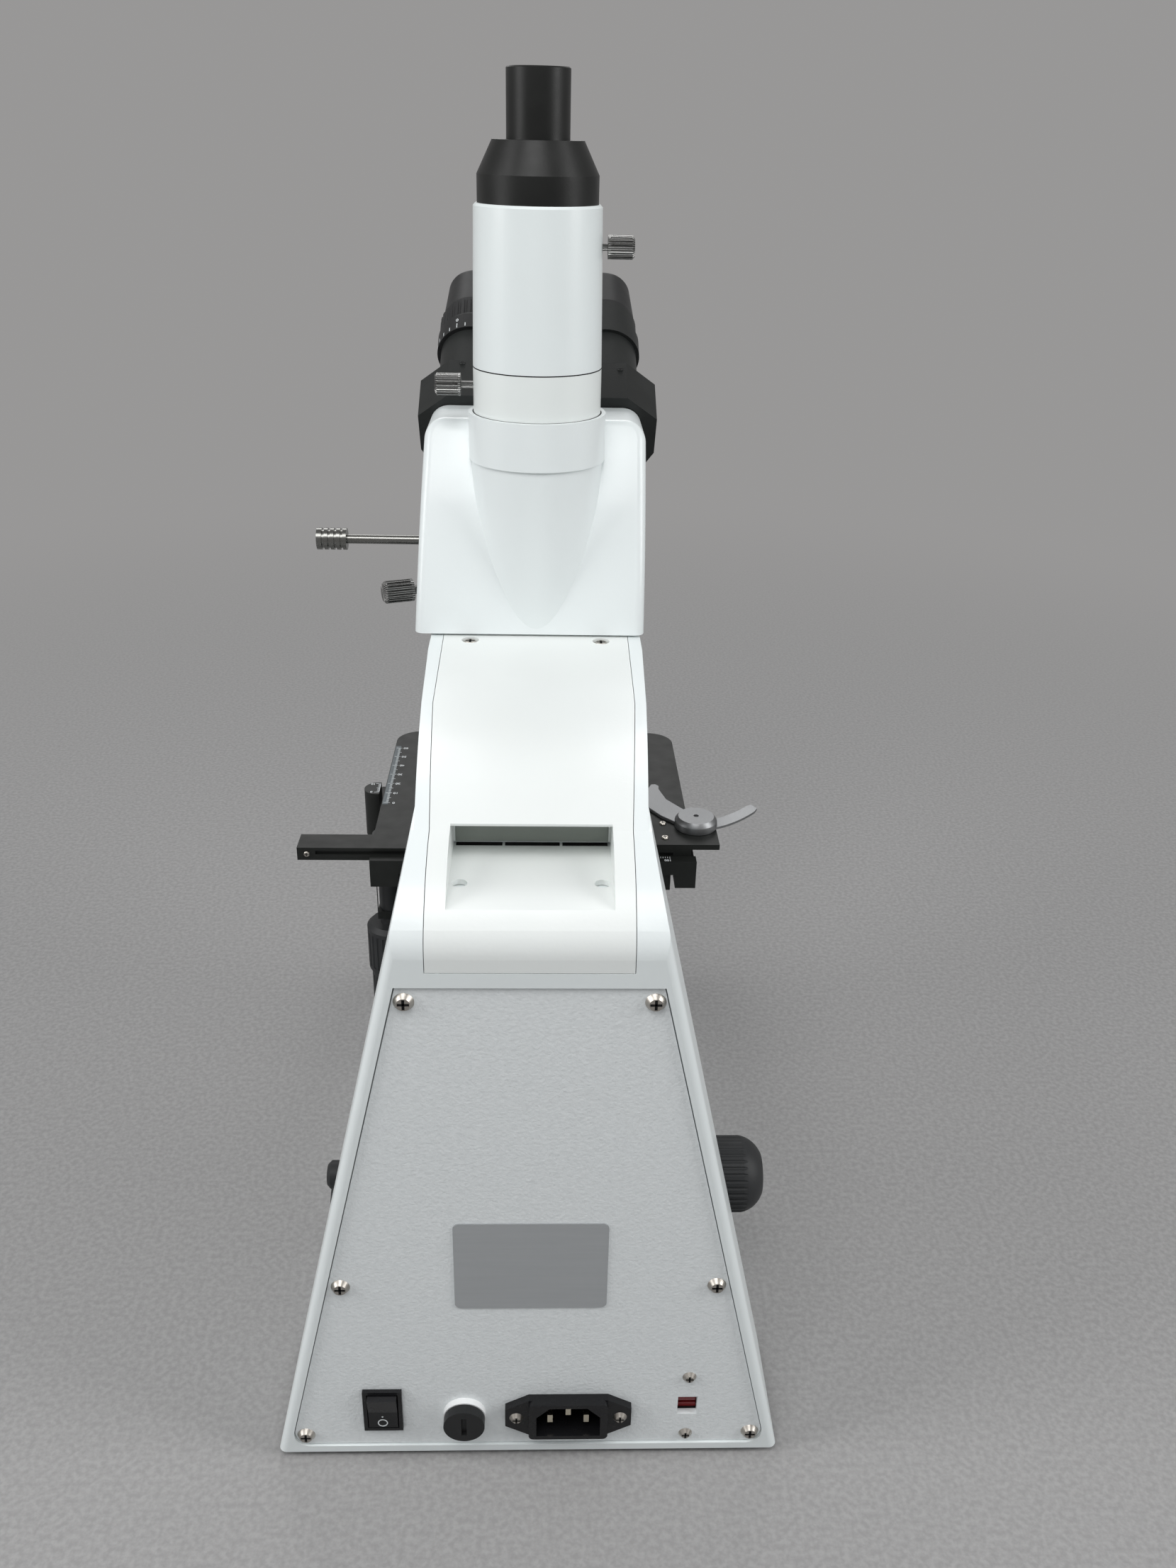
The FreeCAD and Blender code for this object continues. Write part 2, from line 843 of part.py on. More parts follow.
def handle_cover():
    hollow = block(
        "grip_hollow",
        ("-grip_half", "grip_front", "grip_floor"),
        ("grip_half", "rear_y + 5", "grip_high"),
    )
    mouth = block("grip_mouth", ("-grip_half", "grip_edge", "grip_floor"),
                  ("grip_half", "rear_y + 5", "arm_top"))
    slit = block("grip_slit", ("-grip_half", "grip_front - 5", "grip_floor"),
                 ("grip_half", "grip_front + 1", "grip_floor + 1.6"))
    holes = [mouth, slit]
    for side in ("", "-"):
        at = (f"{side}cover_screw_half", "cover_screw_y", "arm_top + 1")
        holes.append(cylinder("cover_screw_hole", "screw_shank / 2 + running", "cover_thick + 3", at,
                              "-Z"))
        holes.append(cylinder("cover_screw_seat", "screw_head / 2 + 0.2", "cover_sink + 1", at, "-Z"))
        holes.append(cylinder("pocket_hole", "grip_hole", 6,
                              (f"{side}grip_hole_half", "grip_hole_y", "grip_floor + 1"), "-Z"))
    node("handle_cover", cut("cover", cover_space("cover_solid"), hollow, *holes))


def screw(name, head, shank, length, at, along):
    """Pan-head screw with a cross recess; its head seats at the given place and the shank runs along."""
    opposite = {"-Y": "Y", "-Z": "Z"}[along]
    dome = cone(name, f"{head} / 2", f"{head} / 2 - 1.2", f"{head} / 4", at, opposite)
    stem = cylinder(name, f"{shank} / 2", length, at, along)
    x, y, z = at
    arms = []
    for wide, tall in ((0.28, 0.07), (0.07, 0.28)):
        if along == "-Y":
            low = (f"{x} - {wide} * {head}", f"{y} + {head} / 8", f"{z} - {tall} * {head}")
            high = (f"{x} + {wide} * {head}", f"{y} + {head}", f"{z} + {tall} * {head}")
        else:
            low = (f"{x} - {wide} * {head}", f"{y} - {tall} * {head}", f"{z} + {head} / 8")
            high = (f"{x} + {wide} * {head}", f"{y} + {tall} * {head}", f"{z} + {head}")
        arms.append(block(name, low, high))
    return cut(name, fuse(name, dome, stem), *arms)


def case_screws():
    places = (
        ("screw_high_half", "screw_high"),
        ("screw_mid_half", "screw_mid"),
        ("screw_low_half", "screw_low"),
    )
    screws = []
    for half, height in places:
        for side in ("", "-"):
            at = (f"{side}{half}", "rear_y - panel_inset", height)
            screws.append(screw("panel_screw", "screw_head", "screw_shank", "screw_length", at, "-Y"))
    for side in ("", "-"):
        at = (f"{side}cover_screw_half", "cover_screw_y", "arm_top - cover_sink")
        screws.append(screw("cover_screw", "screw_head", "screw_shank", "cover_screw_length", at, "-Z"))
    node("case_screws", group("case_screw_group", screws))


def hexagon(width, height, chamfer):
    """Outline of an inlet face: a rectangle with its two upper corners cut."""
    return [
        (f"inlet_x - {width} / 2", f"inlet_z - {height} / 2"),
        (f"inlet_x + {width} / 2", f"inlet_z - {height} / 2"),
        (f"inlet_x + {width} / 2", f"inlet_z + {height} / 2 - {chamfer}"),
        (f"inlet_x + {width} / 2 - {chamfer}", f"inlet_z + {height} / 2"),
        (f"inlet_x - {width} / 2 + {chamfer}", f"inlet_z + {height} / 2"),
        (f"inlet_x - {width} / 2", f"inlet_z + {height} / 2 - {chamfer}"),
    ]


PANEL_FACE = "(rear_y - panel_inset)"


def rear_panel():
    body = new_body("panel_body")
    sheet_metal = trapezoid("panel_bottom_half", "panel_bottom", "panel_top_half", "panel_top")
    plate = pad(body, "XZ", sheet_metal, "panel_thick", f"-{PANEL_FACE}")
    crosswise = runs_along("y")
    low = value("panel_bottom")
    dress(body, "Fillet", plate, lambda e: crosswise(e) and abs(middle_of(e).z - low) < 0.01,
          "panel_corner")
    tools = panel_holes("panel_screw_hole", "screw_shank / 2 + running", "panel_thick + 2",
                        f"{PANEL_FACE} + 1")
    back = f"{PANEL_FACE} - panel_thick - 1"
    front = f"{PANEL_FACE} + 1"
    fit = 0.1
    openings = (
        ("switch_x", "switch_z", "switch_width - 2", "switch_height - 2"),
        ("inlet_x", "inlet_z", "inlet_body_width - 2", "inlet_height - 2"),
        ("selector_x", "selector_z", "selector_width", "selector_height"),
    )
    for x, z, width, height in openings:
        low_corner = (f"{x} - ({width}) / 2 - {fit}", back, f"{z} - ({height}) / 2 - {fit}")
        high_corner = (f"{x} + ({width}) / 2 + {fit}", front, f"{z} + ({height}) / 2 + {fit}")
        tools.append(block("panel_opening", low_corner, high_corner))
    tools.append(cylinder("fuse_opening", "fuse_body / 2 + 0.1", "panel_thick + 2",
                          ("fuse_x", front, "fuse_z"), "-Y"))
    for x, z in small_screw_places():
        tools.append(cylinder("small_hole", "small_shank / 2 + running", "panel_thick + 2",
                              (x, front, z), "-Y"))
    node("rear_panel", cut("panel", body, *tools))


def small_screw_places():
    return (
        ("inlet_x + inlet_pitch / 2", "inlet_z"),
        ("inlet_x - inlet_pitch / 2", "inlet_z"),
        ("selector_x", "selector_z + selector_pitch / 2"),
        ("selector_x", "selector_z - selector_pitch / 2"),
    )


def small_screws():
    screws = []
    for index, (x, z) in enumerate(small_screw_places()):
        seat = f"{PANEL_FACE} + inlet_stand" if index < 2 else PANEL_FACE
        screws.append(screw("small_screw", "small_head", "small_shank", "small_length", (x, seat, z),
                            "-Y"))
    node("fitting_screws", group("small_screw_group", screws))


def power_inlet():
    body = new_body("inlet_body")
    half = "inlet_width / 2"
    tall = "inlet_height / 2"
    block_half = "inlet_body_width / 2"
    ear = 4.5
    flange = [
        (f"inlet_x - {half}", f"inlet_z - {ear}"),
        (f"inlet_x - {block_half}", f"inlet_z - {tall}"),
        (f"inlet_x + {block_half}", f"inlet_z - {tall}"),
        (f"inlet_x + {half}", f"inlet_z - {ear}"),
        (f"inlet_x + {half}", f"inlet_z + {ear}"),
        (f"inlet_x + {block_half}", f"inlet_z + {tall}"),
        (f"inlet_x - {block_half}", f"inlet_z + {tall}"),
        (f"inlet_x - {half}", f"inlet_z + {ear}"),
    ]
    pad(body, "XZ", flange, "inlet_stand", f"-{PANEL_FACE} - inlet_stand")
    rim = [
        (f"inlet_x - {block_half}", f"inlet_z - {tall}"),
        (f"inlet_x + {block_half}", f"inlet_z - {tall}"),
        (f"inlet_x + {block_half}", f"inlet_z + {tall}"),
        (f"inlet_x - {block_half}", f"inlet_z + {tall}"),
    ]
    raised = pad(body, "XZ", rim, "inlet_rim", f"-{PANEL_FACE} - inlet_rim")
    crosswise = runs_along("y")
    dress(body, "Fillet", raised,
          lambda e: crosswise(e) and middle_of(e).y > value(f"{PANEL_FACE} + inlet_stand"), 2)
    rear_box = [
        (f"inlet_x - {block_half} + 1", f"inlet_z - {tall} + 1"),
        (f"inlet_x + {block_half} - 1", f"inlet_z - {tall} + 1"),
        (f"inlet_x + {block_half} - 1", f"inlet_z + {tall} - 1"),
        (f"inlet_x - {block_half} + 1", f"inlet_z + {tall} - 1"),
    ]
    pad(body, "XZ", rear_box, "inlet_depth", f"-{PANEL_FACE}")
    socket = hexagon("socket_width", "socket_height", "socket_chamfer")
    pocket(body, "XZ", socket, "socket_depth", f"-{PANEL_FACE} - inlet_rim", reverse=True)
    holes = []
    for x, z in small_screw_places()[:2]:
        at = (x, f"{PANEL_FACE} + inlet_stand + 1", z)
        holes.append(cylinder("inlet_hole", "small_shank / 2 + running", "inlet_stand + 2", at, "-Y"))
    pins = []
    for offset, rise in (("-pin_spacing", -1.5), ("0", 2.5), ("pin_spacing", -1.5)):
        x = f"inlet_x + {offset}"
        seat = f"{PANEL_FACE} + inlet_rim - socket_depth"
        low = (f"{x} - pin_width / 2", seat, f"inlet_z + {rise} - pin_height / 2")
        high = (f"{x} + pin_width / 2", f"{seat} + pin_length", f"inlet_z + {rise} + pin_height / 2")
        pins.append(block("inlet_pin", low, high))
    node("power_inlet", cut("inlet", body, *holes))
    node("inlet_pins", group("inlet_pin_group", pins))


def switch():
    face = f"{PANEL_FACE} + switch_bezel"
    width = "switch_width / 2"
    height = "switch_height / 2"
    bezel = block(
        "bezel",
        (f"switch_x - {width}", PANEL_FACE, f"switch_z - {height}"),
        (f"switch_x + {width}", face, f"switch_z + {height}"),
    )
    can = block(
        "can",
        (f"switch_x - {width} + 1", f"{PANEL_FACE} - switch_depth", f"switch_z - {height} + 1"),
        (f"switch_x + {width} - 1", PANEL_FACE, f"switch_z + {height} - 1"),
    )
    well = block(
        "well",
        (f"switch_x - {width} + switch_wall", f"{PANEL_FACE} - 8", f"switch_z - {height} + switch_wall"),
        (f"switch_x + {width} - switch_wall", f"{face} + 1", f"switch_z + {height} - switch_wall"),
    )
    node("switch_housing", cut("switch_shell", fuse("switch_outer", bezel, can), well))
    body = new_body("rocker_body")
    long_half = "(switch_height / 2 - switch_wall - 0.5)"
    rocker = [
        (f"-{long_half}", -3),
        (0, -4.5),
        (long_half, -3),
        (f"{long_half} - 0.2", "rocker_proud"),
        (0, "rocker_proud - 0.9"),
        (f"-{long_half} + 0.2", "rocker_proud"),
    ]
    pad(body, "YZ", rocker, "switch_width - 2 * switch_wall - 0.8", symmetric=True)
    tilt = Rotation(Vector(1, 0, 0), value("-rocker_tilt") - 90)
    aim(body, tilt, ("switch_x", face, "switch_z"))
    node("switch_rocker", body)


def fuse_holder():
    ring = cylinder("fuse_ring", "fuse_ring / 2", "fuse_stand", ("fuse_x", PANEL_FACE, "fuse_z"), "Y")
    barrel = cylinder("fuse_barrel", "fuse_body / 2", "fuse_depth", ("fuse_x", PANEL_FACE, "fuse_z"),
                      "-Y")
    bore = cylinder("fuse_bore", "fuse_body / 2 - 2", "fuse_depth + fuse_stand - 2",
                    ("fuse_x", f"{PANEL_FACE} + fuse_stand + 1", "fuse_z"), "-Y")
    node("fuse_holder", cut("fuse_shell", fuse("fuse_outer", ring, barrel), bore))
    seat = f"{PANEL_FACE} + fuse_stand + 0.2"
    cap = cylinder("cap", "fuse_cap / 2", "fuse_cap_stand - fuse_stand", ("fuse_x", seat, "fuse_z"), "Y")
    plug = cylinder("plug", "fuse_body / 2 - 2.1", 16, ("fuse_x", seat, "fuse_z"), "-Y")
    groove = block(
        "cap_slot",
        ("fuse_x - 1", f"{PANEL_FACE} + fuse_cap_stand - 1.2", "fuse_z - 4.5"),
        ("fuse_x + 1", f"{PANEL_FACE} + fuse_cap_stand + 2", "fuse_z + 4.5"),
    )
    node("fuse_cap", cut("cap_slotted", fuse("cap_solid", cap, plug), groove))


def voltage_selector():
    back = f"{PANEL_FACE} - panel_thick"
    shell = block(
        "selector_shell",
        ("selector_x - 7", f"{back} - 10", "selector_z - 9"),
        ("selector_x + 7", f"{back}", "selector_z + 9"),
    )
    well = block(
        "selector_well",
        ("selector_x - selector_width / 2 - 0.3", f"{back} - 6",
         "selector_z - selector_height / 2 - 0.3"),
        ("selector_x + selector_width / 2 + 0.3", f"{back} + 1",
         "selector_z + selector_height / 2 + 0.3"),
    )
    node("selector_body", cut("selector_case", shell, well))
    slider = block(
        "slider",
        ("selector_x - selector_width / 2", f"{back} - 5.8", "selector_z - selector_height / 2"),
        ("selector_x + selector_width / 2", f"{back} - 1",
         "selector_z + selector_height / 2 - slider_travel"),
    )
    groove = block(
        "slider_groove",
        ("selector_x - selector_width / 2 - 1", f"{back} - 2.2", "selector_z - slider_travel / 2 - 0.6"),
        ("selector_x + selector_width / 2 + 1", f"{back}", "selector_z - slider_travel / 2 + 0.6"),
    )
    node("selector_slider", cut("slider_cut", slider, groove))


def base_parts():
    plate = block(
        "base_plate_block",
        ("-base_front_half + 10.3", "-base_front + 8.3", "foot_lift"),
        ("base_front_half - 10.3", "limb_front - 8.3", "foot_lift + 2"),
    )
    node("base_plate", plate)
    feet = []
    for half, y in (("base_front_half - 17", "-base_front + 17"), ("rear_half - 19", "rear_y - 18")):
        for side in ("", "-"):
            foot = cone("foot", "foot_radius - 1", "foot_radius", "foot_lift", (f"{side}({half})", y, 0))
            feet.append(foot)
    node("feet", group("foot_group", feet))
    ring = revolve("ring_body", [
        ("field_lens / 2", "base_top - 6"),
        ("field_lens / 2 + 2", "base_top - 6"),
        ("field_lens / 2 + 2", "base_top"),
        ("lens_ring", "base_top"),
        ("lens_ring", "lens_ring_top - 3"),
        ("lens_ring - 3", "lens_ring_top"),
        ("field_lens / 2 + 4", "lens_ring_top"),
        ("field_lens / 2 + 1.2", "lens_ring_top - 3"),
        ("field_lens / 2 + 1.2", "lens_ring_top - 7"),
        ("field_lens / 2", "lens_ring_top - 7"),
    ])
    node("field_lens_ring", ring)
    lens = revolve("field_glass", [
        (0, "lens_ring_top - 7"),
        ("field_lens / 2 + 1.1", "lens_ring_top - 7"),
        ("field_lens / 2 + 1.1", "lens_ring_top - 4"),
        (0, "lens_ring_top - 1.5"),
    ])
    node("field_lens", lens)
    floor = "foot_lift + 2"
    heat_sink = cylinder("heat_sink", 17, 9, (0, 0, floor))
    socket = cylinder("lamp_socket", 9, "base_top - foot_lift - 16", (0, 0, f"{floor} + 9"))
    node("lamp_module", fuse("lamp", heat_sink, socket))
    board = block("board", ("-50", "limb_front - 60", f"{floor} + 3"),
                  ("50", "limb_front - 22", f"{floor} + 4.6"))
    supply = block("supply", ("-30", "limb_front - 56", f"{floor} + 4.6"),
                   ("26", "limb_front - 26", f"{floor} + 20"))
    posts = []
    for x in ("-45", "45"):
        for y in ("limb_front - 56", "limb_front - 26"):
            posts.append(cylinder("post", 2.5, 3, (x, y, floor)))
    node("power_board", fuse("power_supply", board, supply, *posts))
    knob = cylinder("bright_knob", "bright_radius", "bright_length",
                    ("bright_x", "bright_y", "bright_z"), "X")
    shaft = cylinder("bright_stem", "bright_shaft", 22, ("bright_x - 19", "bright_y", "bright_z"), "X")
    mark = block(
        "bright_mark",
        ("bright_x + bright_length - 1", "bright_y - 0.6", "bright_z + 2"),
        ("bright_x + bright_length + 3", "bright_y + 0.6", "bright_z + bright_radius + 1"),
    )
    node("brightness_knob", cut("bright", fuse("bright_whole", knob, shaft), mark))


# Focus drive
PITCH_RADIUS = "(gear_module * pinion_teeth / 2)"
TOOTH_PITCH = "(gear_module * 3.14159265)"
TOOTH_HALF = "(gear_module * 0.7854 - backlash / 2)"


def pinion(name, width):
    """Spur pinion about its own Z axis, a tooth on +X."""
    body = new_body(name)
    round_pad(body, "XY", (0, 0), f"{PITCH_RADIUS} - 1.25 * gear_module", width, f"-({width}) / 2")
    root = f"{PITCH_RADIUS} - 1.35 * gear_module"
    tip = f"{PITCH_RADIUS} + 0.8 * gear_module"
    tooth = [
        (root, f"-{TOOTH_HALF} - 0.2 * gear_module"),
        (PITCH_RADIUS, f"-{TOOTH_HALF}"),
        (tip, f"-{TOOTH_HALF} + 0.34 * gear_module"),
        (tip, f"{TOOTH_HALF} - 0.34 * gear_module"),
        (PITCH_RADIUS, TOOTH_HALF),
        (root, f"{TOOTH_HALF} + 0.2 * gear_module"),
    ]
    first = pad(body, "XY", tooth, width, f"-({width}) / 2")
    ring = body.newObject("PartDesign::PolarPattern", name + "_ring")
    ring.Originals = [first]
    ring.Axis = ([item for item in body.Origin.OriginFeatures if item.Role == "Z_Axis"][0], [""])
    ring.Angle = 360
    bind(ring, Occurrences="pinion_teeth")
    body.Tip = ring
    return body


def rack(name, width, count):
    """Rack along Z, its teeth towards +Y, pitch line on Y = 0. With an even count a gap lies at Z = 0."""
    body = new_body(name)
    back = [
        (f"-6 * gear_module", f"-({count}) / 2 * {TOOTH_PITCH}"),
        (f"-1.1 * gear_module", f"-({count}) / 2 * {TOOTH_PITCH}"),
        (f"-1.1 * gear_module", f"({count}) / 2 * {TOOTH_PITCH}"),
        (f"-6 * gear_module", f"({count}) / 2 * {TOOTH_PITCH}"),
    ]
    pad(body, "YZ", back, width, symmetric=True)
    middle = f"(0.5 - ({count}) / 2) * {TOOTH_PITCH}"
    tooth = [
        ("-1.2 * gear_module", f"{middle} - {TOOTH_HALF} - 0.42 * gear_module"),
        ("0.8 * gear_module", f"{middle} - {TOOTH_HALF} + 0.29 * gear_module"),
        ("0.8 * gear_module", f"{middle} + {TOOTH_HALF} - 0.29 * gear_module"),
        ("-1.2 * gear_module", f"{middle} + {TOOTH_HALF} + 0.42 * gear_module"),
    ]
    first = pad(body, "YZ", tooth, width, symmetric=True)
    row = body.newObject("PartDesign::LinearPattern", name + "_row")
    row.Originals = [first]
    row.Direction = ([item for item in body.Origin.OriginFeatures if item.Role == "Z_Axis"][0], [""])
    bind(row, Length=f"({count} - 1) * {TOOTH_PITCH}", Occurrences=count)
    body.Tip = row
    return body


def focus_drive():
    centre = (0, "focus_y", "focus_z")
    tube = cylinder("coarse_tube", "coarse_shaft", "2 * coarse_outer - 2",
                    ("1 - coarse_outer", "focus_y", "focus_z"), "X")
    gear = pinion("coarse_pinion", "2 * rack_half - 1")
    aim(gear, TURNS["X"].multiply(Rotation(Vector(0, 0, 1), 90)), centre)
    bore = cylinder("coarse_bore", "fine_shaft + running", "2 * coarse_outer",
                    ("-coarse_outer", "focus_y", "focus_z"), "X")
    node("coarse_shaft", cut("coarse_axle", fuse("coarse_solid", tube, gear), bore))
    knobs = []
    for side in ("X", "-X"):
        length = "coarse_outer - coarse_inner"
        knob = revolve("coarse_knob_body", [
            ("coarse_shaft + 0.01", 0),
            ("coarse_knob - 1.5", 0),
            ("coarse_knob", 1.5),
            ("coarse_knob", f"{length} - 2"),
            ("coarse_knob - 2", length),
            ("fine_knob + 2", length),
            ("fine_knob + 1", f"{length} - 1.5"),
            ("coarse_shaft + 0.01", f"{length} - 1.5"),
        ])
        ribbed = grooves(knob, knob.Tip, "coarse_ribs", "coarse_knob + 0.9", 1.7, 3, f"{length} - 4")
        start = "coarse_inner" if side == "X" else "-coarse_inner"
        aim(knob, TURNS[side], (start, "focus_y", "focus_z"))
        knobs.append(knob)
    node("coarse_knobs", group("coarse_knob_pair", knobs))
    ring = revolve("tension_body", [
        ("boss_radius + running", 0),
        ("tension_ring", 0),
        ("tension_ring", "tension_gap - knob_gap"),
        ("boss_radius + running", "tension_gap - knob_gap"),
    ])
    aim(ring, TURNS["X"], ("coarse_inner - tension_gap", "focus_y", "focus_z"))
    node("tension_ring", ring)
    shaft = cylinder("fine_axle", "fine_shaft", "fine_reach + fine_cap_reach - 16",
                     ("8 - fine_reach", "focus_y", "focus_z"), "X")
    node("fine_shaft", shaft)
    depth = "fine_reach - coarse_outer - knob_gap"
    dome = revolve("fine_knob_body", [
        ("fine_shaft + 0.01", 0),
        ("fine_knob - 1", 0),
        ("fine_knob", 1),
        ("fine_knob", f"{depth} - 9", "fine_knob * 0.75"),
        ("fine_knob - 7", depth),
        (0, depth),
        (0, f"{depth} - 7.9"),
        ("fine_shaft + 0.01", f"{depth} - 7.9"),
    ])
    grooves(dome, dome.Tip, "fine_ribs", "fine_knob + 0.45", 0.9, 2, f"{depth} - 5")
    aim(dome, TURNS["-X"], ("-coarse_outer - knob_gap", "focus_y", "focus_z"))
    cap = revolve("fine_cap_body", [
        ("fine_shaft + 0.01", 0),
        ("fine_cap", 0),
        ("fine_cap", "fine_cap_reach - coarse_outer - knob_gap - 1.5"),
        ("fine_cap - 1.5", "fine_cap_reach - coarse_outer - knob_gap"),
        (0, "fine_cap_reach - coarse_outer - knob_gap"),
        (0, "fine_cap_reach - coarse_outer - knob_gap - 7.9"),
        ("fine_shaft + 0.01", "fine_cap_reach - coarse_outer - knob_gap - 7.9"),
    ])
    aim(cap, TURNS["X"], ("coarse_outer + knob_gap", "focus_y", "focus_z"))
    node("fine_knobs", group("fine_knob_pair", [dome, cap]))


UNDER_TOP = "(stage_top - stage_plate - stage_gap)"
UNDER_LOW = f"({UNDER_TOP} - under_plate)"
BRACKET_LOW = f"({UNDER_LOW} - bracket_thick)"
CARRIER_REAR = "(limb_front - carrier_gap)"
CARRIER_FRONT = "(limb_front - carrier_gap - carrier_depth)"


def gib_outline(fit=0):
    """Dovetail section in plan, narrow side at the limb."""
    inner = f"(gib_width - {fit})"
    outer = f"(gib_width + gib_depth + 4 + {fit})"
    return [
        (inner, "limb_front"),
        (f"{inner} - 1.5", f"limb_front - gib_depth - {fit}"),
        (f"{outer} + 1.5", f"limb_front - gib_depth - {fit}"),
        (outer, "limb_front"),
    ]


def focus_carrier():
    rails = []
    for side in ("", "-"):
        body = new_body("gib")
        section = [(f"{side}({x})", y) for x, y in gib_outline()]
        pad(body, "XY", section, "rail_high - rail_low", "rail_low")
        rails.append(body)
    node("focus_rails", group("focus_rail_pair", rails))
    back = block("carrier_back", ("-carrier_half", CARRIER_FRONT, "carrier_bottom"),
                 ("carrier_half", CARRIER_REAR, UNDER_LOW))
    plate = new_body("bracket_plate")
    arms = [
        ("-bracket_half", "-bracket_front"),
        ("bracket_half", "-bracket_front"),
        ("bracket_half", f"{CARRIER_FRONT} - 14"),
        ("carrier_half", CARRIER_REAR),
        ("-carrier_half", CARRIER_REAR),
        ("-bracket_half", f"{CARRIER_FRONT} - 14"),
    ]
    pad(plate, "XY", arms, "bracket_thick", BRACKET_LOW)
    web = block("rack_web", ("-rack_half + 1", f"{CARRIER_REAR} - 1", "carrier_bottom"),
                ("rack_half - 1", f"focus_y - {PITCH_RADIUS} - 3 * gear_module", "carrier_bottom + 40"))
    toothed = rack("focus_rack", "2 * rack_half", "rack_teeth")
    shift(toothed, 0, f"focus_y - {PITCH_RADIUS}", f"focus_z + rack_shift * {TOOTH_PITCH}")
    link = block("rack_link",
                 ("-rack_half + 1", f"focus_y - {PITCH_RADIUS} - 6 * gear_module", "focus_z"),
                 ("rack_half - 1", f"focus_y - {PITCH_RADIUS} - 3 * gear_module", "carrier_bottom + 40"))
    guide = new_body("condenser_guide")
    tail = [
        ("-4", f"{CARRIER_FRONT}"),
        ("-6", f"{CARRIER_FRONT} - 5"),
        ("6", f"{CARRIER_FRONT} - 5"),
        ("4", f"{CARRIER_FRONT}"),
    ]
    pad(guide, "XY", tail, f"{BRACKET_LOW} - carrier_bottom + 16", "carrier_bottom - 16")
    spine = block("guide_spine", ("-10", CARRIER_FRONT, "carrier_bottom - 16"),
                  ("10", f"{CARRIER_FRONT} + 5", "carrier_bottom"))
    channels = []
    for side in ("", "-"):
        body = new_body("channel")
        section = [(f"{side}({x})", y) for x, y in gib_outline("slide_fit")]
        pad(body, "XY", section, 200, "carrier_bottom - 20")
        channels.append(body)
    hole = cylinder("bracket_hole", "stage_hole + 1", "bracket_thick + 2", (0, 0, f"{BRACKET_LOW} - 1"))
    whole = fuse("carrier_whole", back, plate, web, toothed, link, guide, spine)
    node("focus_carrier", cut("carrier", whole, hole, *channels))


# Stage
def under_plate():
    body = new_body("under_body")
    plan = [
        ("-under_half", "-under_front"),
        ("under_right", "-under_front"),
        ("drive_x - drive_pinion", "-under_front + 12"),
        ("drive_x - drive_pinion", "under_rear"),
        ("-under_half", "under_rear"),
    ]
    plate = pad(body, "XY", plan, "under_plate", UNDER_LOW)
    round_pocket(body, "XY", (0, 0), "stage_hole", "under_plate + 2", f"{UNDER_LOW} - 1", reverse=True)
    arm = block(
        "vernier_arm",
        ("drive_x - drive_pinion - 8", "-vernier_front", f"{UNDER_LOW} - 5"),
        ("stage_right + vernier_gap + 3", "4 - vernier_front", UNDER_LOW),
    )
    beam = block(
        "vernier_beam",
        ("stage_right + vernier_gap", "-vernier_front", f"{UNDER_LOW} - 5"),
        ("stage_right + vernier_gap + 3", "vernier_y", f"{UNDER_LOW} + 4"),
    )
    post = cylinder("vernier_post", "vernier_radius", "stage_top + 0.5 - vernier_low",
                    ("vernier_x", "vernier_y", "vernier_low"))
    beyond = block(
        "vernier_trim",
        ("vernier_x - 2 * vernier_radius", "-60", "vernier_low - 1"),
        ("stage_right + vernier_gap", 60, "stage_top + 2"),
    )
    node("stage_base_plate", fuse("under_whole", body, arm, beam, cut("vernier", post, beyond)))


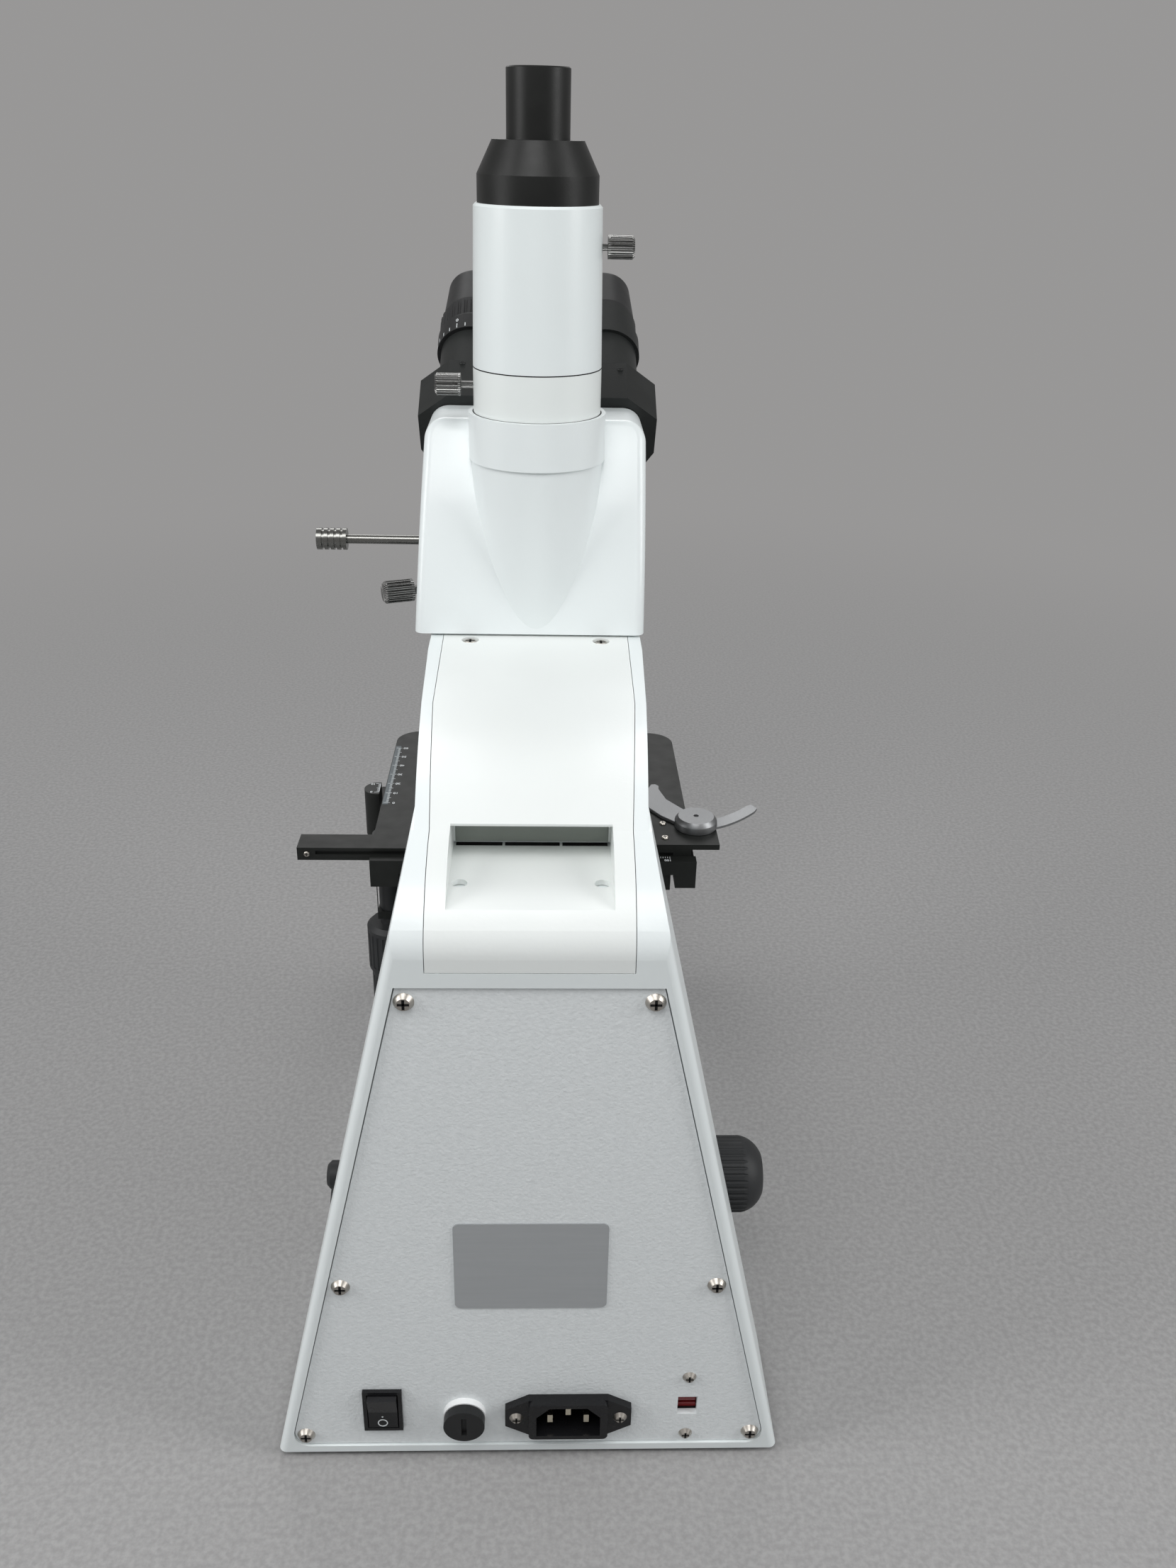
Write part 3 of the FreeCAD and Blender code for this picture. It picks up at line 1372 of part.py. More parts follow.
def stage_plate():
    low = "(stage_top - stage_plate)"
    body = new_body("top_body")
    plan = [
        ("-stage_left", "-stage_front"),
        ("stage_right", "-stage_front"),
        ("stage_right", "stage_rear"),
        ("-stage_left", "stage_rear"),
    ]
    plate = pad(body, "XY", plan, "stage_plate", low)
    upright = runs_along("z")
    front = -value("stage_front")
    dress(body, "Fillet", plate, lambda e: upright(e) and abs(middle_of(e).y - front) < 0.01,
          "stage_corner")
    slot = new_sketch(body, "XY", f"{low} - 1")
    outline(slot, [
        ("-stage_slot_half", "-stage_slot_front + stage_slot_half", "stage_slot_half * 1.0001"),
        ("stage_slot_half", "-stage_slot_front + stage_slot_half"),
        ("stage_slot_half", "stage_slot_rear - stage_slot_half", "stage_slot_half * 1.0001"),
        ("-stage_slot_half", "stage_slot_rear - stage_slot_half"),
    ])
    extrude(body, "Pocket", slot, "stage_plate + 2", reverse=True)
    bar_low = "(stage_top + 0.5 - rail_height)"
    lip_front = "(stage_rear + 2 * rail_play + rail_width)"
    ledge = block("ledge", ("-stage_left - 1", "stage_rear - 1", f"{low} - ledge_depth"),
                  ("stage_right", f"{lip_front} + lip_width", f"{bar_low} - rail_play"))
    shelf = block("shelf", ("-stage_left - 1", "stage_rear - 1", low),
                  ("stage_right", "stage_rear", f"{bar_low} - rail_play"))
    lip = block("lip", ("-stage_left - 1", lip_front, f"{low} - ledge_depth"),
                ("stage_right", f"{lip_front} + lip_width", "stage_top - 2.5"))
    clear = f"{UNDER_TOP} + stage_gap / 2"
    under_gap = block("under_gap", ("-under_half - 2", "stage_rear - 9", f"{low} - 11"),
                      ("drive_x - drive_pinion + 0.6", f"{lip_front} + lip_width + 1", low))
    gear_room = cylinder("gear_room", "drive_pinion + 0.8", f"stage_plate + 10",
                         ("drive_x", "drive_y", f"{low} - 11.5"))
    node("stage_top_plate", cut("top", fuse("top_whole", body, ledge, shelf, lip), under_gap, gear_room))
    housing = block(
        "drive_block",
        (f"drive_x - drive_pinion + 1", "drive_y - 14", "knob_top + 4"),
        ("stage_right + 0.3", "stage_rear - 1.2", low),
    )
    room = cylinder("drive_room", "drive_pinion + 0.4", f"{low} - knob_top - 8 + 1",
                    ("drive_x", "drive_y", "knob_top + 8"))
    bearing = cylinder("drive_bearing", "drive_tube + running", 10,
                       ("drive_x", "drive_y", "knob_top + 2"))
    side_gap = block("rack_gap", ("drive_x - drive_pinion - 1", "drive_y - 20", f"{UNDER_LOW} - 1"),
                     ("drive_x - drive_pinion + 1.4", "drive_y + 20", low))
    node("drive_housing", cut("drive", housing, room, bearing, side_gap))
    tube = cylinder("y_tube", "drive_tube", f"{UNDER_LOW} + 1 - knob_top",
                    ("drive_x", "drive_y", "knob_top"))
    gear = cylinder("y_gear", "drive_pinion - 0.3", 5, ("drive_x", "drive_y", f"{UNDER_LOW} + 1"))
    knob = revolve("y_knob_body", [
        (0, 0),
        ("y_knob", 0),
        ("y_knob", "y_knob_height - 2"),
        ("y_knob - 2", "y_knob_height"),
        (0, "y_knob_height"),
    ])
    grooves(knob, knob.Tip, "knob_ribs", "y_knob + 0.5", 1, 2, "y_knob_height - 4")
    shift(knob, "drive_x", "drive_y", "knob_top - y_knob_height")
    bore = cylinder("y_bore", "drive_shaft + running", 90,
                    ("drive_x", "drive_y", "knob_top - y_knob_height - 1"))
    node("y_knob", cut("y_drive", fuse("y_whole", tube, gear, knob), bore))
    inner = cylinder("x_axle", "drive_shaft", f"{bar_low} + 1 - knob_top + y_knob_height",
                     ("drive_x", "drive_y", "knob_top - y_knob_height - 1"))
    top_gear = cylinder("x_gear", "drive_pinion - 0.3", "rail_height - 3",
                        ("drive_x", "drive_y", f"{bar_low} - 0.4"))
    low_knob = revolve("x_knob_body", [
        (0, 0),
        ("x_knob - 1.5", 0),
        ("x_knob", 1.5),
        ("x_knob", "x_knob_height"),
        (0, "x_knob_height"),
    ])
    grooves(low_knob, low_knob.Tip, "knob_ribs", "x_knob + 0.5", 1, 3, "x_knob_height - 3")
    shift(low_knob, "drive_x", "drive_y", "knob_top - y_knob_height - x_knob_height - knob_gap")
    node("x_knob", fuse("x_drive", inner, top_gear, low_knob))


def specimen_holder():
    bar_low = "(stage_top + 0.5 - rail_height)"
    front = "(stage_rear + rail_play)"
    bar = block("bar", ("-rail_left", front, bar_low),
                ("rail_right", f"{front} + rail_width", "stage_top + 0.5"))
    groove = block("bar_slot", ("-rail_left + 8", f"{front} + rail_width - 1.2", f"{bar_low} + 2.8"),
                   ("rail_right - 8", f"{front} + rail_width + 1", f"{bar_low} + 4.6"))
    node("x_rack_bar", cut("bar_cut", bar, groove))
    seat = "(stage_top + 0.5)"
    left = "(slide_x - slide_long / 2)"
    right = "(slide_x + slide_long / 2 + 0.3)"
    back = "(slide_y + slide_wide / 2 + 0.3)"
    body = new_body("holder_body")
    plan = [
        ("disc_x - 9", back),
        (right, back),
        (right, "slide_y - slide_wide / 2 + 6"),
        (f"{right} + 9", "slide_y - slide_wide / 2 + 2"),
        (f"{right} + 9", f"{back} + 10"),
        (f"{left} + 4", f"{back} + 12"),
        (f"{left} + 4", f"{front} + rail_width"),
        ("disc_x - 9", f"{front} + rail_width"),
    ]
    pad(body, "XY", plan, "holder_thick", seat)
    at = ("disc_x", "disc_y", f"{seat} - 1")
    hole = cylinder("pivot_hole", "pivot_pin + running", "holder_thick + 2", at)
    node("holder_plate", cut("holder", body, hole))
    deck = f"({seat} + holder_thick + 0.2)"
    disc = cylinder("disc", "disc_radius", "disc_height", ("disc_x", "disc_y", deck))
    dimple = cylinder("dimple", 1.2, 2, ("disc_x", "disc_y", f"{deck} + disc_height - 1"))
    pin = cylinder("pin", "pivot_pin", "holder_thick + 0.6", ("disc_x", "disc_y", f"{seat} - 0.2"))
    finger = new_body("finger_body")
    tip_x = f"({left} - 2.3)"
    tip_y = "(slide_y - slide_wide / 2 + 1)"
    pad(finger, "XY", [
        ("disc_x - 4", "disc_y - 4"),
        ("disc_x + 3", f"{tip_y} + 10", "finger_bend"),
        (f"{tip_x} - 2", f"{tip_y} - 2"),
        (f"{tip_x} + 2", f"{tip_y} - 1"),
        (f"{tip_x} + 1", f"{tip_y} + 10"),
        ("disc_x + 8", "disc_y - 2"),
        ("disc_x + 4", "disc_y + 4"),
    ], 1.5, deck)
    tab = new_body("tab_body")
    pad(tab, "XY", [
        ("disc_x - 6", "disc_y - 5"),
        ("disc_x", "disc_y + 4"),
        ("disc_x - 18", "disc_y - 2", "-finger_bend"),
        ("disc_x - 30", "disc_y - 7"),
        ("disc_x - 28", "disc_y - 13"),
        ("disc_x - 18", "disc_y - 8"),
    ], 1.5, deck)
    nub = cylinder("nub", 1.6, f"{deck} - stage_top - 0.8 + 0.5", (tip_x, tip_y, "stage_top + 0.8"))
    node("slide_finger", cut("finger", fuse("finger_whole", disc, pin, finger, tab, nub), dimple))


# Condenser
def condenser():
    arm_rear = f"({CARRIER_FRONT} - 0.3)"
    ring = cylinder("condenser_ring", "condenser_ring", "condenser_ring_high - condenser_ring_low",
                    (0, 0, "condenser_ring_low"))
    arm = block("condenser_arm", ("-12", 18, "condenser_ring_low"),
                ("12", f"{arm_rear} - 8", "condenser_ring_high"))
    slider = block("condenser_slide", ("-14", f"{arm_rear} - 16", "condenser_ring_high - 32"),
                   ("14", arm_rear, "condenser_ring_high"))
    channel = new_body("condenser_channel")
    pad(channel, "XY", [
        ("-4 - slide_fit", f"{CARRIER_FRONT} + 0.01"),
        ("-6 - slide_fit", f"{CARRIER_FRONT} - 5 - slide_fit"),
        ("6 + slide_fit", f"{CARRIER_FRONT} - 5 - slide_fit"),
        ("4 + slide_fit", f"{CARRIER_FRONT} + 0.01"),
    ], 40, "condenser_ring_high - 34")
    hole = cylinder("condenser_hole", "condenser_body + running", 20, (0, 0, "condenser_ring_low - 5"))
    axle_y = f"({arm_rear} - 11)"
    axle = cylinder("axle_hole", "drive_shaft + running", 20, (0.5, axle_y, "condenser_ring_high - 18"),
                    "-X")
    node("condenser_carrier",
         cut("condenser_mount", fuse("condenser_frame", ring, arm, slider), channel, hole, axle))
    knob = revolve("condenser_knob_body", [
        (0, 0),
        ("condenser_knob", 0),
        ("condenser_knob", 11),
        ("condenser_knob - 1.5", 12.5),
        (0, 12.5),
    ])
    grooves(knob, knob.Tip, "knob_ribs", "condenser_knob + 0.5", 1, 2, 9)
    aim(knob, TURNS["-X"], (-31, axle_y, "condenser_ring_high - 18"))
    stem = cylinder("condenser_axle", "drive_shaft", 32, (-0.5, axle_y, "condenser_ring_high - 18"), "-X")
    node("condenser_knob", fuse("condenser_drive", knob, stem))
    shell = revolve("condenser_shell", [
        ("condenser_lens + 0.1", "condenser_bottom"),
        ("condenser_body", "condenser_bottom"),
        ("condenser_body", "condenser_ring_high + 0.2"),
        ("condenser_body + 3", "condenser_ring_high + 0.2"),
        ("condenser_body + 3", "condenser_step"),
        ("condenser_body - 5", "condenser_step + 2"),
        ("condenser_body - 5", "condenser_step + 12"),
        ("condenser_lens + 1.4", "condenser_step + 15"),
        ("condenser_lens + 1.4", "condenser_top - 5"),
        ("condenser_lens + 0.1", "condenser_top - 5"),
    ])
    lug = block("filter_lug", ("condenser_body - 1.5", -4, "condenser_bottom"),
                ("filter_pivot + 4", 4, "condenser_bottom + 4"))
    pivot = cylinder("lug_hole", "pivot_pin + running", 8, ("filter_pivot", 0, "condenser_bottom - 2"))
    node("condenser_body", cut("condenser_case", fuse("condenser_outer", shell, lug), pivot))
    lens = revolve("condenser_glass", [
        (0, "condenser_top - 17"),
        ("condenser_lens", "condenser_top - 17"),
        ("condenser_lens", "condenser_top - 5"),
        ("condenser_lens - 4", "condenser_top"),
        (0, "condenser_top"),
    ])
    node("condenser_lens", lens)
    iris = revolve("iris_ring", [
        ("condenser_body + running", "condenser_bottom + 8"),
        ("condenser_body + 2.5", "condenser_bottom + 8"),
        ("condenser_body + 2.5", "condenser_bottom + 12"),
        ("condenser_body + running", "condenser_bottom + 12"),
    ])
    lever = cylinder("iris_rod", 1.2, 16, (0, "-condenser_body - 1.5", "condenser_bottom + 10"), "-Y")
    ball = doc.addObject("Part::Sphere", "iris_ball")
    bind(ball, Radius="iris_ball")
    shift(ball, 0, "-condenser_body - 18", "condenser_bottom + 10")
    node("iris_lever", fuse("iris", iris, lever, ball))
    low = "condenser_bottom - 6.3"
    holder = revolve("filter_ring", [
        ("filter_radius - 3", low),
        ("filter_radius", low),
        ("filter_radius", "condenser_bottom - 0.3"),
        ("filter_radius - 2", "condenser_bottom - 0.3"),
        ("filter_radius - 2", f"{low} + 2"),
        ("filter_radius - 3", f"{low} + 2"),
    ])
    ear = block("filter_ear", ("filter_radius - 1", -4, low),
                ("filter_pivot + 4", 4, "condenser_bottom - 0.3"))
    pin = cylinder("filter_pin", "pivot_pin", 10, ("filter_pivot", 0, low))
    node("filter_holder", fuse("filter", holder, ear, pin))


# Nosepiece
def turret_frame():
    """Place of the turret: its axis leans forward at the top, and local -Y points at the optical axis."""
    tilt = math.radians(value("turret_tilt"))
    pitch = value("turret_pitch")
    centre = Vector(0, pitch * math.cos(tilt), value("seat_z") + pitch * math.sin(tilt))
    return Placement(centre, Rotation(Vector(1, 0, 0), value("turret_tilt")))


def seat_frame(quarter):
    """Place of an objective's seat in the turret's frame."""
    around = Placement(Vector(), Rotation(Vector(0, 0, 1), 90 * quarter))
    out = Placement(Vector(0, -value("turret_pitch"), 0),
                    Rotation(Vector(1, 0, 0), -value("turret_tilt")))
    return around.multiply(out)


def nosepiece():
    frame = turret_frame()
    slope = "tan(turret_tilt * 1 deg)"
    body = revolve("turret_body", [
        ("pivot_radius + running", f"(pivot_radius + running - turret_pitch) * {slope}"),
        ("turret_radius - 2", f"(turret_radius - 2 - turret_pitch) * {slope}"),
        ("turret_radius", f"(turret_radius - 2 - turret_pitch) * {slope} + 1.5"),
        ("turret_radius", "turret_height - 2"),
        ("turret_radius - 2", "turret_height"),
        ("pivot_radius + running", "turret_height"),
    ])
    grooves(body, body.Tip, "turret_ribs", "turret_radius + 0.6", 1.1, 4, "turret_height - 2.5")
    holes = []
    for quarter in range(4):
        hole = cylinder("objective_hole", "objective_thread + running", 40)
        hole.Placement = seat_frame(quarter).multiply(Placement(Vector(0, 0, -8), Rotation()))
        holes.append(hole)
    turret = cut("turret_cut", body, *holes)
    turret.Placement = frame
    node("turret", turret)
    ball_race = cylinder("race", "mount_radius", 40, (0, 0, "turret_height + race_gap"))
    pin = cylinder("turret_pin", "pivot_radius", "turret_height + 10", (0, 0, -6))
    head = cylinder("turret_pin_head", "pivot_radius + 3", 2, (0, 0, -7.5))
    tilted = fuse("mount_tilted", ball_race, pin, head)
    tilted.Placement = frame
    limit = block("mount_limit", (-60, -60, "seat_z - 20"), (60, 100, "arm_top - arm_roof"))
    light = cylinder("mount_light", 8, 80, (0, 0, "seat_z"))
    node("nosepiece_mount", cut("mount", common("mount_trimmed", tilted, limit), light))
    lengths = (
        ("objective_10x", "objective_b", 11.0, 4.0),
        ("objective_4x", "objective_a", 11.0, 7.0),
        ("objective_100x", "objective_d", 11.5, 2.5),
        ("objective_40x", "objective_c", 11.5, 3.0),
    )
    for quarter, (label, length, width, tip) in enumerate(lengths):
        barrel = revolve(label + "_barrel", [
            (5, "turret_height - 3"),
            ("objective_thread", "turret_height - 3"),
            ("objective_thread", 0),
            (f"{width} + 0.5", 0),
            (f"{width} + 0.5", -4),
            (width, -5),
            (width, f"-{length} + 11"),
            (f"{tip} + 2", f"-{length} + 3"),
            (f"{tip} + 1", f"-{length}"),
            (tip, f"-{length}"),
            (f"{tip} * 0.8", f"-{length} + 0.8"),
            (0, f"-{length} + 0.8"),
            (0, -6),
            (5, -4),
        ])
        barrel.Placement = frame.multiply(seat_frame(quarter))
        node(label, barrel)


# Viewing head
def head_box():
    body = new_body("head_body")
    face_low = "(hinge_y - (hinge_z - head_face_low) * tan(tube_tilt * 1 deg))"
    face_high = "(hinge_y + (head_top - hinge_z) * tan(tube_tilt * 1 deg))"
    profile = [
        ("-head_front", "head_bottom"),
        ("head_rear", "head_bottom", "head_rear_radius"),
        ("head_rear_top", "head_top"),
        (face_high, "head_top"),
        (face_low, "head_face_low"),
    ]
    box = pad(body, "YZ", profile, "2 * head_right_low", symmetric=True)
    for side, low, high in (("", "head_right_low", "head_right_top"),
                            ("-", "head_left_low", "head_left_top")):
        wedge = [
            (f"{side}{low}", "head_bottom - 1"),
            (f"{side}(head_right_low + 4)", "head_bottom - 1"),
            (f"{side}(head_right_low + 4)", "head_top + 4"),
            (f"{side}{high}", "head_top + 4"),
            (f"{side}{high}", "head_top"),
        ]
        box = pocket(body, "XZ", wedge, 400, symmetric=True)
    top = value("head_top")

    def top_side_edge(edge):
        centre = middle_of(edge)
        return abs(centre.z - top) < 0.1 and abs(centre.x) > 40 and edge.Curve.TypeId == "Part::GeomLine"
    box = dress(body, "Fillet", box, top_side_edge, "head_corner")

    def rear_side_edge(edge):
        centre = middle_of(edge)
        return abs(centre.x) > 44 and centre.y > 0 and top - 70 < centre.z < top - 20
    dress(body, "Fillet", box, rear_side_edge, "head_edge")
    trunk = cone("trunk", "trunk_low", "trunk_radius", "collar_low - head_bottom", (0, 0, "head_bottom"))
    collar = cylinder("collar", "collar_radius", "collar_top - collar_low", (0, 0, "collar_low"))
    dovetail = cone("dovetail", "dovetail_radius", "dovetail_radius - 1",
                    "head_bottom - arm_top + dovetail_depth",
                    (0, 0, "arm_top - dovetail_depth"))
    pin = cylinder("hinge_pin", "hub_pin", "wing_depth + wing_play + 8", (0, 0, "-8"))
    pin_cap = cone("hinge_cap", "hub_pin + 5", "hub_pin + 3", 2.5, (0, 0, "wing_depth + wing_play"))
    hinge = fuse("hinge", pin, pin_cap)
    hinge.Placement = wing_frame()
    whole = fuse("head_whole", body, trunk, collar, dovetail, hinge)
    bore = cylinder("light_bore", 14, "head_top - head_bottom + 60",
                    (0, 0, "arm_top - dovetail_depth - 1"))
    socket = cylinder("collar_bore", "sleeve_spigot + running", "spigot_depth + 20",
                      (0, 0, "collar_top - spigot_depth"))
    rod_hole = cylinder("rod_hole", "rod_radius + running", "head_right_low + 2", (5, 0, "rod_z"), "X")
    lock_hole = cylinder("lock_hole", "rod_radius + running", 14)
    aim(lock_hole, lock_turn(), ("lock_in - 12", "lock_y - 12 * tan(lock_angle * 1 deg)", "lock_z"))
    node("head_box", cut("head", whole, bore, socket, rod_hole, lock_hole))


def lock_turn():
    """Turns +Z to point to +X and back by the lock knob's angle."""
    return Rotation(Vector(0, 0, 1), value("lock_angle")).multiply(TURNS["X"])


def wing_frame():
    """Frame of the eyepiece wings: Z along the tubes, origin where the hinge meets the head."""
    return Placement(
        Vector(0, value("hinge_y"), value("hinge_z")),
        Rotation(Vector(1, 0, 0), 90 - value("tube_tilt")),
    )


def head_screws():
    rod = cylinder("rod", "rod_radius", "rod_out + 2 - rod_in", ("rod_in", 0, "rod_z"), "X")
    knob = cylinder("rod_handle", "rod_knob", "rod_end - rod_out", ("rod_out", 0, "rod_z"), "X")
    rings = []
    for step in range(4):
        ring = cylinder("ring_space", "rod_knob + 1", 1.1, (f"rod_out + 1.6 + {step} * 2.7", 0, "rod_z"),
                        "X")
        core = cylinder("ring_core", "rod_knob - 0.8", 3, (f"rod_out + 0.6 + {step} * 2.7", 0, "rod_z"),
                        "X")
        rings.append(cut("ring_groove", ring, core))
    node("light_path_rod", cut("rod_turned", fuse("rod_solid", rod, knob), *rings))
    stem = cylinder("lock_stem", "rod_radius", 13, (0, 0, -10))
    grip = revolve("lock_grip", [
        (0, 0),
        ("lock_radius", 0),
        ("lock_radius", "lock_out - lock_in - 1"),
        ("lock_radius - 1", "lock_out - lock_in"),
        (0, "lock_out - lock_in"),
    ])
    grooves(grip, grip.Tip, 16, "lock_radius + 0.3", 0.6, 1.2, "lock_out - lock_in - 1.5")
    lock = fuse("lock_solid", stem, grip)
    aim(lock, lock_turn(), ("lock_in", "lock_y", "lock_z"))
    node("head_lock_screw", lock)
    for label, along, start, height, reach in (
        ("thumbscrew_low", "X", "thumb_low_x", "thumb_low_z", "thumb_low_x - sleeve_bore - 0.2"),
        ("thumbscrew_high", "-X", "-thumb_high_x", "thumb_high_z", "thumb_high_x - tube_bore - 0.2"),
    ):
        stem = cylinder(label + "_stem", "thumb_shank", f"{reach} + 3", (0, 0, f"-({reach})"))
        grip = revolve(label + "_grip", [
            (0, 0),
            ("thumb_radius", 0),
            ("thumb_radius", "thumb_length - 0.8"),
            ("thumb_radius - 0.8", "thumb_length"),
            (0, "thumb_length"),
        ])
        grooves(grip, grip.Tip, 18, "thumb_radius + 0.25", 0.5, 1, "thumb_length - 1")
        screw_body = fuse(label + "_solid", stem, grip)
        aim(screw_body, TURNS[along], (start, 0, height))
        node(label, screw_body)


def photo_tube():
    hole_low = cylinder("low_screw_hole", "thumb_shank + running", 40, (0, 0, "thumb_low_z"), "X")
    sleeve = revolve("sleeve_body", [
        ("sleeve_bore", "collar_top - spigot_depth"),
        ("sleeve_spigot", "collar_top - spigot_depth"),
        ("sleeve_spigot", "collar_top"),
        ("sleeve_radius", "collar_top"),
        ("sleeve_radius", "sleeve_top"),
        ("sleeve_bore", "sleeve_top"),
    ])
    node("tube_sleeve", cut("sleeve", sleeve, hole_low))
    hole_high = cylinder("high_screw_hole", "thumb_shank + running", 40, (0, 0, "thumb_high_z"), "-X")
    tube = revolve("tube_body", [
        ("tube_bore", "sleeve_top - spigot_depth"),
        ("sleeve_bore - running", "sleeve_top - spigot_depth"),
        ("sleeve_bore - running", "sleeve_top"),
        ("sleeve_radius", "sleeve_top"),
        ("tube_top_radius", "tube_top - 1"),
        ("tube_top_radius - 1", "tube_top"),
        ("tube_bore", "tube_top"),
    ])
    node("upper_tube", cut("tube", tube, hole_high))
    adapter = revolve("adapter_body", [
        ("adapter_bore", "tube_top - adapter_spigot"),
        ("tube_bore - running", "tube_top - adapter_spigot"),
        ("tube_bore - running", "tube_top"),
        ("adapter_low", "tube_top"),
        ("adapter_low", "adapter_step"),
        ("adapter_neck", "adapter_shoulder"),
        ("adapter_tube", "adapter_shoulder"),
        ("adapter_tube", "adapter_top - 0.5"),
        ("adapter_tube - 0.5", "adapter_top"),
        ("adapter_bore", "adapter_top"),
    ])
    node("camera_adapter", adapter)


def wing(side):
    """Eyepiece wing in the wing frame; side is +1 on the user's right and -1 on the left."""
    sign = "" if side > 0 else "-"
    name = "right" if side > 0 else "left"
    body = new_body("wing_" + name + "_lobe")
    lobe = [
        ("wing_inner + 4", -16),
        ("wing_x - 2", -16),
        ("wing_x + wing_reach - 8", -4),
        ("wing_x + wing_reach", "wing_v - 10"),
        ("wing_x + wing_reach", "wing_v + 10"),
        ("wing_x + wing_reach - 14", "wing_v + 22"),
        ("wing_inner + 6", "wing_v + 22"),
        ("wing_inner", "wing_v + 9"),
    ]
    pad(body, "XY", [(f"{sign}({x})", v) for x, v in lobe], "wing_depth", "wing_play")
    hub_low = "wing_play" if side > 0 else "wing_split + wing_play"
    room_low = "wing_split" if side > 0 else "wing_play - 1"
    room = cylinder("hub_room", "hub_radius + 0.6", f"wing_split + 1.2 + {hub_low} - wing_play",
                    (0, 0, room_low))
    if side < 0:
        room = cylinder("hub_room", "hub_radius + 0.6", "wing_split + 1 + wing_play / 2",
                        (0, 0, room_low))
    hub = cylinder("hub", "hub_radius", "wing_split - wing_play / 2 - 0.2", (0, 0, hub_low))
    pin_room = cylinder("pin_room", "hub_pin + running", 60, (0, 0, "-5"))
    tube = cylinder("eye_tube", "eye_tube", "eye_tube_end - wing_depth + 1",
                    (f"{sign}wing_x", "wing_v", "wing_depth - 1"))
    bore = cylinder("eye_bore", "barrel_radius + running", "eye_tube_end", (f"{sign}wing_x", "wing_v", 8))
    parts = [cut("lobe_cut", body, room), hub, tube]
    if side < 0:
        plain = cylinder("plain_ring", "diopter_radius - 0.2", "diopter_mid - diopter_low",
                         ("-wing_x", "wing_v", "diopter_low"))
        band = cylinder("plain_band", "eye_tube + 0.5", "eye_tube_end - diopter_mid",
                        ("-wing_x", "wing_v", "diopter_mid"))
        parts += [plain, band]
    piece = cut("wing_cut_" + name, fuse("wing_whole_" + name, *parts), pin_room, bore)
    piece.Placement = wing_frame()
    node("wing_" + name, piece)
    eyepiece = revolve("eyepiece_" + name + "_body", [
        ("barrel_radius - 1.5", "eye_tube_end - barrel_length"),
        ("barrel_radius", "eye_tube_end - barrel_length"),
        ("barrel_radius", "eye_tube_end"),
        ("eye_cup", "eye_tube_end"),
        ("eye_cup", "eye_tube_end + 3"),
        ("eye_cup_end", "eye_end - 3", 3),
        ("eye_cup_end - 3", "eye_end"),
        ("eye_cup_end - 4.5", "eye_end - 1"),
        ("eye_cup_end - 6", "eye_end - 8"),
        (0, "eye_end - 8"),
        (0, "eye_end - 13"),
        ("barrel_radius - 1.5", "eye_end - 14"),
    ])
    eyepiece.Placement = wing_frame().multiply(Placement(Vector(side * value("wing_x"), value("wing_v"),
                                                                0), Rotation()))
    node("eyepiece_" + name, eyepiece)


def diopter_ring():
    ring = revolve("diopter_body", [
        ("eye_tube + running", "diopter_low"),
        ("diopter_radius", "diopter_low"),
        ("diopter_radius", "diopter_mid"),
        ("diopter_grip", "diopter_mid + 1"),
        ("diopter_grip", "diopter_high"),
        ("eye_tube + running", "diopter_high"),
    ])
    grooves(ring, ring.Tip, "diopter_ribs", "diopter_grip + 0.3", 0.9, "diopter_mid + 1.5",
            "diopter_high + 1")
    ring.Placement = wing_frame().multiply(Placement(Vector(value("wing_x"), value("wing_v"), 0),
                                                     Rotation()))
    node("diopter_ring", ring)


def check_and_write():
    doc.recompute()
    for item in doc.Objects:
        if "Invalid" in item.State or "Error" in item.State:
            raise RuntimeError(f"{item.Label} is {item.State}")
    os.makedirs("parts", exist_ok=True)
    for label, item in NODES.items():
        shape = item.Shape
        if shape.isNull() or not shape.isValid() or not shape.Solids:
            raise RuntimeError(f"{label} has no valid solid")
        shape.exportStep(f"parts/{label}.step")
        print(f"{label}: {len(shape.Solids)} solids, {shape.Volume:.0f} mm3")


stand_casting()
handle_cover()
case_screws()
rear_panel()
small_screws()
power_inlet()
switch()
fuse_holder()
voltage_selector()
base_parts()
focus_drive()
focus_carrier()
under_plate()
stage_plate()
specimen_holder()
condenser()
nosepiece()
head_box()
head_screws()
photo_tube()
wing(1)
wing(-1)
diopter_ring()
check_and_write()
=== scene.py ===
"""Looks of the compound microscope: materials, scales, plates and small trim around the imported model."""

import json
import math

import bmesh
import bpy
from mathutils import Matrix, Vector


